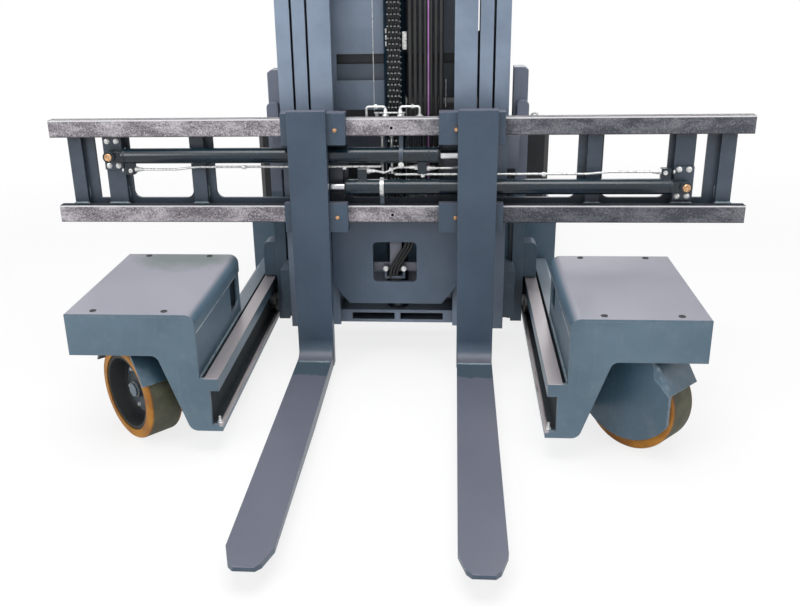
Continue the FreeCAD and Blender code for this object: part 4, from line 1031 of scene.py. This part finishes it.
def loadWheel(word, facing):
    # cast tread with rounded shoulders, hub plate with its ring of bolts
    wheel = wheels[word]
    look = dict(shoulder=0.012, bandThick=0.030, wall=0.113, plateRadius=0.084, dish=0.054, inset=0.003,
                bolts=6, boltRing=0.070, bolt=0.0068)
    half, r, rounding = wheel["width"] / 2, wheel["radius"], look["shoulder"]
    inside = r - look["bandThick"]
    bend = [math.radians(degrees) for degrees in (0, 22, 45, 68, 90)]
    profile = [(inside, -half)]
    for sign, turns in ((-1, bend), (1, bend[::-1])):
        profile += [(r - rounding + rounding * math.sin(a),
                     sign * (half - rounding + rounding * math.cos(a))) for a in turns]
    profile += [(inside, half), (inside + 0.0002, half * 0.3), (inside + 0.0002, -half * 0.3)]
    band = lathe(profile, 96, True)
    tyre = bmesh.new()
    stamp(tyre, band, wheel["centre"], wheel["axle"])
    tyre = piece(word + "Tread", tyre, [treads[word]], word + "_load_wheel", 50)
    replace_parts(tyre, word + "_load_tyre")
    outward = wheel["axle"] * facing
    rim, wall, p = inside - 0.0003, look["wall"], look["plateRadius"]
    edge = half - look["inset"]
    deep = edge - look["dish"]
    dish = lathe([(0, -edge), (rim, -edge), (rim, edge - 0.002), (rim - 0.002, edge), (wall + 0.002, edge),
                  (wall, edge - 0.003), (wall - 0.004, deep + 0.012), (wall - 0.012, deep),
                  (p + 0.001, deep - 0.003), (p + 0.001, deep), (0, deep)], 96)
    shape = bmesh.new()
    stamp(shape, dish, wheel["centre"], outward, 0, 1)
    boss = lathe([(0, 0), (p, 0), (p, 0.006), (p - 0.0015, 0.0075), (0.031, 0.0075), (0.029, 0.010),
                  (0.0275, 0.027), (0.024, 0.0295), (0, 0.030)], 56)
    face = wheel["centre"] + outward * (deep - 0.002)
    stamp(shape, boss, face, outward)
    head = hexHead(look["bolt"], 0.65)
    turnWheel, ring = turned(outward), look["boltRing"]
    for i in range(look["bolts"]):
        angle = math.tau * (i + 0.5) / look["bolts"]
        offset = turnWheel @ Vector((ring * math.cos(angle), ring * math.sin(angle), 0.0075))
        stamp(shape, head, face + offset, outward, angle, 2)
    hub = piece(word + "Hub", shape, [hubPaint, hubIron, zinc], word + "_load_wheel")
    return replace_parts(hub, word + "_load_hub")


hubPaint = slatePaint("hubPaint", dict(paint, dark="343e44", light="465158", wear=0.6, hollowShadeAmount=0.3, coat=0.4))
loadWheel("left", 1)
loadWheel("right", -1)


def driveTrim():
    # nut ring on the drive wheel
    look = dict(nuts=5, size=0.014, ring=0.075, out=-0.008)
    shape = bmesh.new()
    head = hexHead(look["size"], 0.8)
    for i in range(look["nuts"]):
        angle = math.tau * i / look["nuts"]
        offset = Vector((look["out"], look["ring"] * math.cos(angle), look["ring"] * math.sin(angle)))
        stamp(shape, head, wheels["drive"]["centre"] + offset, (-1, 0, 0), angle)
    return piece("driveNuts", shape, [zinc], "drive_wheel")


driveTrim()
print("wheels and legs fitted out")


def bake(thing):
    # takes the mesh as its modifiers leave it
    thing.data = bpy.data.meshes.new_from_object(thing.evaluated_get(bpy.context.evaluated_depsgraph_get()))
    thing.modifiers.clear()


def blownPad(name, node, look):
    # upholstery: a slightly small block remeshed, blown up as cloth, held to a small swell, then quilted
    low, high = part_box(node)
    middle = (low + high) / 2
    block = bmesh.new()
    block.from_mesh(frame["nodes"][node].data)
    bmesh.ops.remove_doubles(block, verts=block.verts, dist=1e-5)
    faces = [f for f in block.faces if f.normal.dot(look["towards"]) > 0.8]
    facing = sum((f.normal * f.calc_area() for f in faces), Vector()).normalized()
    across = Vector((0, 1, 0))
    along = facing.cross(across)
    shrink = Matrix.Diagonal((*look["start"], 1.0))
    shrink = Matrix.Translation(middle) @ shrink @ Matrix.Translation(-middle)
    bmesh.ops.transform(block, matrix=shrink, verts=block.verts)
    mesh = bpy.data.meshes.new(name)
    block.to_mesh(mesh)
    pad = addObject(name, mesh)
    remesh = pad.modifiers.new("remesh", "REMESH")
    remesh.mode, remesh.voxel_size = "VOXEL", look["voxel"]
    bake(pad)
    start = [v.co.copy() for v in pad.data.vertices]
    cloth = pad.modifiers.new("cloth", "CLOTH")
    cloth.settings.quality = 5
    cloth.settings.use_pressure = True
    cloth.settings.uniform_pressure_force = look["pressure"]
    cloth.settings.effector_weights.gravity = 0
    for step in range(1, look["frames"] + 1):
        bpy.context.scene.frame_set(step)
    bake(pad)
    bpy.context.scene.frame_set(1)
    subdivision = pad.modifiers.new("soften", "SUBSURF")
    subdivision.levels = subdivision.render_levels = 1
    for vertex, place in zip(pad.data.vertices, start):
        move = vertex.co - place
        if move.length > look["swell"]:
            vertex.co = place + move.normalized() * look["swell"]
    bake(pad)
    for vertex in pad.data.vertices:
        offset = vertex.co - middle
        u, v, depth = offset.dot(across), offset.dot(along), offset.dot(facing)
        if depth > 0:           # sewn channels pull the front in
            seams = [abs(v - place) for place in look["channels"]] if abs(u) < look["side"] else []
            seam = min(seams + [abs(abs(u) - look["side"]), 1.0])
            vertex.co -= facing * look["seamDeep"] * math.exp(-(seam / look["seamWide"]) ** 2)
        for i in range(3):      # flat where it rests, and never outside its room
            vertex.co[i] = min(max(vertex.co[i], low[i] - look["proud"][i]), high[i] + look["proud"][i])
    pad.data.materials.clear()
    pad.data.materials.append(vinyl)
    pad.data.shade_smooth()
    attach(pad, "chassis")
    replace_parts(pad, node)
    return pad, middle, facing


def piping(pad, middle, facing, look):
    # welt cord along the cut of a plane with the pad
    shape = bmesh.new()
    for level in look["levels"]:
        cut = bmesh.new()
        cut.from_mesh(pad.data)
        everything = cut.verts[:] + cut.edges[:] + cut.faces[:]
        at = middle + facing * level
        hit = bmesh.ops.bisect_plane(cut, geom=everything, dist=1e-6, plane_co=at, plane_no=facing)
        ring = [e for e in hit["geom_cut"] if isinstance(e, bmesh.types.BMEdge)]
        here = ring[0].verts[0]
        path, left = [here.co.copy()], set(ring)
        while left:
            step = next((e for e in here.link_edges if e in left), None)
            if step is None:
                break
            left.discard(step)
            here = step.other_vert(here)
            path.append(here.co.copy())
        curve, spline = strand(path[:-1:look["every"]], look["radius"], 1, "NURBS", False)
        spline.order_u, spline.use_cyclic_u, spline.resolution_u = 4, True, 2
        stamp(shape, fromCurve(curve))
    return piece(look["name"], shape, [vinyl], "chassis", 60)


seatLook = dict(towards=Vector((0, 0, 1)), start=(0.95, 0.95, 0.80), voxel=0.006, pressure=4.0, frames=20,
                swell=0.022, side=0.150, channels=(-0.135, -0.035, 0.065), seamDeep=0.006, seamWide=0.007,
                proud=(0.006, 0.006, 0.0), fill=0.7)
backLook = dict(seatLook, towards=Vector((1, 0, 0)), start=(0.80, 0.95, 0.96),
                channels=(-0.150, -0.050, 0.050, 0.150), proud=(0.0, 0.006, 0.004))
seatPad, seatMiddle, seatUp = blownPad("cushionPad", "seat_cushion", seatLook)
backPad, backMiddle, backOut = blownPad("backPad", "seat_backrest", backLook)
welt = dict(radius=0.0032, every=3)
piping(seatPad, seatMiddle, seatUp, dict(welt, name="CushionWelt", levels=(0.012, -0.026)))
piping(backPad, backMiddle, backOut, dict(welt, name="BackWelt", levels=(0.004,)))
print("seat blown up and piped")


def steeringWheel():
    # ribbed boot, column head, rim on three spokes, and the knob
    low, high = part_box("steering_wheel")
    middle = (low + high) / 2
    look = dict(grip=0.0105, column=0.026, spokes=3, rimAt=0.072, spoke=0.0075, spokeBend=0.02)
    grip, level, r = look["grip"], look["rimAt"], look["column"]
    ring = (high.y - low.y) / 2 - grip
    shape = bmesh.new()
    place = Vector((middle.x, middle.y, low.z))
    rim = lathe([(ring + grip * math.cos(a), level + grip * math.sin(a) * 0.95)
                 for a in [math.tau * i / 14 for i in range(14)]], 72, True)
    boot = [(0, 0.0005)] + [(r * (1.0 if i % 2 else 0.86), 0.0005 + i * 0.005) for i in range(10)]
    crown = [(r * 0.72, 0.052), (r * 0.72, 0.060), (r * 1.2, 0.064), (r * 1.35, 0.070), (r * 1.25, 0.079),
             (r * 0.8, 0.083), (0, 0.084)]
    column = lathe(boot + crown, 40)
    stamp(shape, rim, place)
    stamp(shape, column, place)
    for i in range(look["spokes"]):
        angle = math.tau * i / look["spokes"] + 0.5
        way = Vector((math.cos(angle), math.sin(angle), 0))
        path = [place + way * 0.024 + above * 0.070, place + way * 0.060 + above * 0.066,
                place + way * (ring - 0.002) + above * level]
        stamp(shape, tube(path, look["spoke"], look["spokeBend"]))
    top = high.z - low.z
    knob = lathe([(0, level), (0.007, level), (0.007, level + 0.014), (0.013, level + 0.018),
                  (0.0175, top - 0.016), (0.0170, top - 0.007), (0.012, top - 0.0015), (0, top)], 28)
    stamp(shape, knob, place + Vector((ring, 0, 0)), above, 0, 1)
    wheel = piece("steeringRim", shape, [blackPlastic, darkGlass], "chassis", 50)
    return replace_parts(wheel, "steering_wheel")


def consoleTrim():
    # desk plate with screen, buttons, stop button and key, and a row of levers behind it
    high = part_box("control_console")[1]
    lean = Vector((0, 0.97, 0.24)).normalized()          # the desk's face towards the driver
    look = dict(face=Vector((0.015, high.y - 0.0175, 0.9055)), plate=(0.600, 0.130), screen=(0.150, 0.096),
                bezel=(0.172, 0.118), screenAt=-0.190, buttons=10, stopAt=0.150, keyAt=0.225, levers=4,
                leverGap=0.048)
    shape = bmesh.new()
    turnFace = turned(lean)

    def put(part, x, y, lift, material=0):
        place = look["face"] + turnFace @ Vector((x, y, 0)) + lean * lift
        stamp(shape, part, place, lean, 0, material)

    put(roundPlate(look["plate"], 0.012, 0.003), 0, 0, 0.0015)
    put(roundPlate(look["bezel"], 0.010, 0.014, 0.003), look["screenAt"], 0, 0.007)
    put(roundPlate(look["screen"], 0.004, 0.003), look["screenAt"], 0, 0.0142, 1)
    button = lathe([(0, 0), (0.0085, 0), (0.0085, 0.006), (0.0070, 0.0085), (0, 0.009)], 20)
    for i in range(look["buttons"]):
        put(button, -0.060 + (i % 5) * 0.030, 0.020 - (i // 5) * 0.036, 0.0025, 1)
    stop = lathe([(0, 0), (0.020, 0), (0.020, 0.004), (0.010, 0.005), (0.010, 0.016), (0.019, 0.018),
                  (0.021, 0.024), (0.018, 0.031), (0.010, 0.034), (0, 0.035)], 32)
    put(stop, look["stopAt"], 0, 0.0025, 2)
    key = lathe([(0, 0), (0.014, 0), (0.014, 0.006), (0.011, 0.009), (0.004, 0.009), (0.004, 0.006),
                 (0, 0.006)], 24)
    put(key, look["keyAt"], 0, 0.0025, 3)
    folds = [(0.018 - 0.0016 * i - (0.002 if i % 2 else 0.0), 0.0005 + 0.003 * i) for i in range(7)]
    boot = lathe([(0, 0)] + folds + [(0, 0.019)], 20)
    knob = lathe([(0, 0.060), (0.0045, 0.060), (0.0090, 0.066), (0.0125, 0.078), (0.0125, 0.086),
                  (0.0090, 0.094), (0, 0.097)], 24)
    stem = lathe([(0, 0.010), (0.004, 0.010), (0.004, 0.064), (0, 0.064)], 12)
    for i in range(look["levers"]):
        at = Vector((0.080 + i * look["leverGap"], high.y - 0.063, high.z - 0.0005))
        tilt = (above + back * 0.22).normalized()
        stamp(shape, boot, at, above)
        stamp(shape, stem, at, tilt, 0, 3)
        stamp(shape, knob, at, tilt)
    materials = [blackPlastic, darkGlass, redPlastic, zinc]
    return piece("consoleTrim", shape, materials, "chassis")


def floorTrim():
    # ribbed mat and two pedals
    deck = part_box("main_frame")[1].z
    look = dict(mat=(0.440, 0.420), at=(0.300, 0.985), ribs=26, ribSpread=0.95, pedal=(0.075, 0.110),
                pedalOut=(-0.085, 0.085), pedalAt=(0.150, 0.055))
    shape = bmesh.new()
    x, y = look["at"]
    across, along = look["mat"]
    stamp(shape, roundPlate(look["mat"], 0.02, 0.006), (x, y, deck + 0.003))
    rib = slab((across - 0.030, 0.006, 0.003), 0.001, 1)
    for i in range(look["ribs"]):
        offset = along * ((i + 0.5) / look["ribs"] - 0.5) * look["ribSpread"]
        stamp(shape, rib, (x, y + offset, deck + 0.007))
    pedal = roundPlate(look["pedal"], 0.014, 0.010, 0.002)
    bar = slab((0.006, look["pedal"][1] - 0.02, 0.004), 0.001, 1)
    lean = (above - rightward * 0.75).normalized()
    ahead, rise = look["pedalAt"]
    for offset in look["pedalOut"]:
        at = Vector((x + ahead, y + offset, deck + rise))
        stamp(shape, pedal, at, lean)
        for i in range(-2, 3):
            stamp(shape, bar, at + turned(lean) @ Vector((i * 0.014, 0, 0.006)), lean)
        arm = [at - lean * 0.004, at + Vector((0.035, 0, -0.012)), at + Vector((0.045, 0, -0.050))]
        stamp(shape, tube(arm, 0.007, 0.015), (0, 0, 0), above, 0, 1)
    return piece("floorTrim", shape, [rubber, darkPaint], "chassis")


def batteryTrim():
    # two lid halves, rows of filler caps, a lifting eye at each corner
    low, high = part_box("battery")
    look = dict(caps=12, rows=(0.085, 0.130), cap=0.013, eye=0.016, eyeBar=0.005, eyeIn=0.035,
                lidDeep=0.100)
    shape = bmesh.new()
    width, r = high.x - low.x, look["cap"]
    for side in (-1, 1):
        at = (side * width / 4, low.y + 0.105, high.z + 0.0025)
        stamp(shape, slab((width / 2 - 0.012, look["lidDeep"], 0.005), 0.0015, 2, at))
    cap = lathe([(0, 0), (r, 0), (r, 0.006), (r * 0.8, 0.008), (r * 0.8, 0.012), (r * 0.6, 0.013),
                 (0, 0.013)], 20)
    for i in range(look["caps"]):
        for y in look["rows"]:
            x = low.x + width * (i + 0.5) / look["caps"]
            stamp(shape, cap, (x, low.y + y, high.z + 0.0045), above, 0, 1)
    eyeRing = lathe([(look["eye"] + look["eyeBar"] * math.cos(a), look["eyeBar"] * math.sin(a))
                     for a in [math.tau * i / 8 for i in range(8)]], 20, True)
    for x in (low.x + look["eyeIn"], high.x - look["eyeIn"]):
        for y in (low.y + look["eyeIn"], high.y - look["eyeIn"]):
            stamp(shape, eyeRing, (x, y, high.z + 0.010), back, 0, 2)
    return piece("batteryTrim", shape, [boxPaint, redPlastic, zinc], "chassis")


def hoodTrim():
    # louvres, a latch with its pull, and hinges on the motor cover
    low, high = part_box("motor_hood")
    lean, upward = Vector((0, 0.985, 0.165)).normalized(), Vector((0, -0.165, 0.985)).normalized()
    look = dict(louvres=9, width=0.20, pitch=0.021, louvreAt=0.190, latchUp=0.095, latch=(0.070, 0.040),
                hingeAt=0.28)
    shape = bmesh.new()
    blade = slab((look["width"], 0.013, 0.005), 0.002, 2)
    bladeUp = (above * 0.8 + back * 0.6).normalized()
    start = Vector((0, high.y - 0.0235, low.z + 0.330))
    for side in (-1, 1):
        for i in range(look["louvres"]):
            rise = look["pitch"] * (i - look["louvres"] / 2)
            at = start + rightward * side * look["louvreAt"] + upward * rise
            stamp(shape, blade, at + lean * 0.002, bladeUp)
    latch = start + upward * look["latchUp"]
    stamp(shape, roundPlate(look["latch"], 0.008, 0.006, 0.002), latch + lean * 0.003, lean, 0, 1)
    bends = ((0.006, -0.022), (0.020, -0.018), (0.020, 0.018), (0.006, 0.022))
    pull = [latch + lean * lift + rightward * x for lift, x in bends]
    stamp(shape, tube(pull, 0.004, 0.006), (0, 0, 0), above, 0, 2)
    hinge = lathe([(0, -0.030), (0.007, -0.030), (0.007, 0.030), (0, 0.030)], 16)
    for x in (-look["hingeAt"], look["hingeAt"]):
        stamp(shape, hinge, (x, low.y + 0.068, high.z + 0.002), rightward, 0, 1)
    return piece("hoodTrim", shape, [slate, blackPlastic, zinc], "chassis")


def guardTrim():
    # two work lamps under the back of the roof
    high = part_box("overhead_guard")[1]
    shape = bmesh.new()
    lamp = lathe([(0, 0), (0.030, 0), (0.042, 0.012), (0.046, 0.030), (0.046, 0.046), (0.041, 0.048),
                  (0.038, 0.044), (0, 0.040)], 36)
    glass = lathe([(0, 0.0415), (0.030, 0.0425), (0.037, 0.0445), (0.037, 0.0435), (0, 0.0405)], 30)
    out = (back - above * 0.25).normalized()
    look = dict(apart=0.30, ahead=0.060, drop=0.130, arm=0.006)
    for x in (-look["apart"], look["apart"]):
        at = Vector((x, high.y - look["ahead"], high.z - look["drop"]))
        stamp(shape, lamp, at, out)
        stamp(shape, glass, at, out, 0, 1)
        arm = [at + out * 0.006, at + above * 0.045, at + above * 0.085 - back * 0.002]
        stamp(shape, tube(arm, look["arm"]))
    return piece("guardTrim", shape, [blackPlastic, darkGlass], "chassis")


def liftGlands():
    # screwed glands on the two outer lift barrels
    low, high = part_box("lift_cylinders")
    look = dict(at=0.360, radius=0.0345)
    middle = (low.y + high.y) / 2
    shape = bmesh.new()
    r = look["radius"]
    gland = lathe([(0.0245, 0), (r, 0), (r, 0.022), (r * 0.93, 0.026), (r * 0.93, 0.034), (r * 0.86, 0.038),
                   (0.0245, 0.038)], 40, True)
    for x in (-look["at"], look["at"]):
        stamp(shape, gland, (x, middle, high.z - 0.036))
    return piece("liftGlands", shape, [barrelPaint], "reach_carriage")


for build in (steeringWheel, consoleTrim, floorTrim, batteryTrim, hoodTrim, guardTrim, liftGlands):
    build()
print("driver's place, battery, hood and guard trimmed")


view = {"focal": 907.83, "width": 800, "height": 606, "centreX": 378.7, "centreY": 303.7, "pitch": 20.75,
        "yaw": 4.93, "roll": 1.23, "place": (0.2103, -3.0273, 1.4334), "sensor": 36.0}
pitch, yaw, roll = (math.radians(view[k]) for k in ("pitch", "yaw", "roll"))
sight = Vector((-math.sin(yaw) * math.cos(pitch), math.cos(yaw) * math.cos(pitch), -math.sin(pitch)))
right = Vector((math.cos(yaw), math.sin(yaw), 0))
down = sight.cross(right)
tiltedRight = math.cos(roll) * right + math.sin(roll) * down
tiltedDown = -math.sin(roll) * right + math.cos(roll) * down
turn = Matrix((tiltedRight, -tiltedDown, -sight)).transposed().to_4x4()
cameraData = bpy.data.cameras.new("camera")
cameraData.sensor_width = view["sensor"]
cameraData.lens = view["focal"] / view["width"] * view["sensor"]
cameraData.shift_x = (view["width"] / 2 - view["centreX"]) / view["width"]
cameraData.shift_y = (view["centreY"] - view["height"] / 2) / view["width"]
cameraData.clip_end = 60
camera = addObject("camera", cameraData)
camera.matrix_world = Matrix.Translation(Vector(view["place"]) + Vector((0, shankFace, 0))) @ turn
bpy.context.scene.camera = camera

studio = {"floorSize": 16, "floorWhite": 0.86, "nearShare": 0.80, "fadeAt": (0.0, -0.4, 0.0),
          "fadeFrom": 2.2, "fadeTo": 4.6, "mirrorShare": 0.6, "worldLevel": 0.32}
floorMesh = bpy.data.meshes.new("floor")
shape = bmesh.new()
bmesh.ops.create_grid(shape, x_segments=1, y_segments=1, size=studio["floorSize"])
shape.to_mesh(floorMesh)
shape.free()
floor = addObject("floor", floorMesh)
s = Shader("floorPaint")
seen, mirrored = s.rays()
white = studio["floorWhite"]
s.finish(Base_Color=(white, white, white), Roughness=0.9)
glow = s.add("ShaderNodeEmission", {}, {"Color": (1.0, 1.0, 1.0), "Strength": 1.0})
near = studio["nearShare"]
outwards = s.fromPoint(studio["fadeAt"]).between(studio["fadeFrom"], studio["fadeTo"], near, 1.0)
share = (seen * outwards).above(mirrored * studio["mirrorShare"])
blendNode = s.add("ShaderNodeMixShader", {}, {0: share, 1: s.surface.outputs[0], 2: glow.outputs[0]})
s.tree.links.new(blendNode.outputs[0], s.tree.nodes["Material Output"].inputs["Surface"])
floorMesh.materials.append(s.material)

world = bpy.data.worlds.new("studio")
bpy.context.scene.world = world
sky = Shader("sky", world)
seen, mirrored = sky.rays()
level = studio["worldLevel"]
sky.finish(Color=(1.0, 1.0, 1.0), Strength=seen.above(mirrored) * (1 - level) + level)

lamps = {
    "overhead": dict(place=(0.0, -0.9, 4.6), aim=(0.0, -0.6, 0.0), size=3.6, power=172),
    "strip": dict(place=(0.0, -2.10, 3.3), aim=(0.0, -0.30, 0.75), size=4.5, narrow=0.10, power=14),
    "frontLeft": dict(place=(-3.6, -4.6, 3.2), aim=(0.0, -0.4, 0.6), size=2.6, power=105),
    "frontRight": dict(place=(3.8, -4.2, 2.6), aim=(0.0, -0.4, 0.6), size=2.6, power=55),
    "behind": dict(place=(0.5, 4.6, 3.4), aim=(0.0, 0.6, 0.8), size=2.6, power=60),
}
for name, lamp in lamps.items():
    data = bpy.data.lights.new(name, "AREA")
    data.shape = "SQUARE"
    data.size = lamp["size"]
    if "narrow" in lamp:        # a long tube that draws the lines of light on the barrels
        data.shape, data.size_y = "RECTANGLE", lamp["narrow"]
    data.energy = lamp["power"]
    light = addObject(name, data)
    aim = Vector(lamp["aim"]) - Vector(lamp["place"])
    turn = aim.to_track_quat("-Z", "Y").to_matrix().to_4x4()
    light.matrix_world = Matrix.Translation(lamp["place"]) @ turn
bpy.context.scene.view_settings.view_transform = "Standard"
print("camera, floor and lamps set")
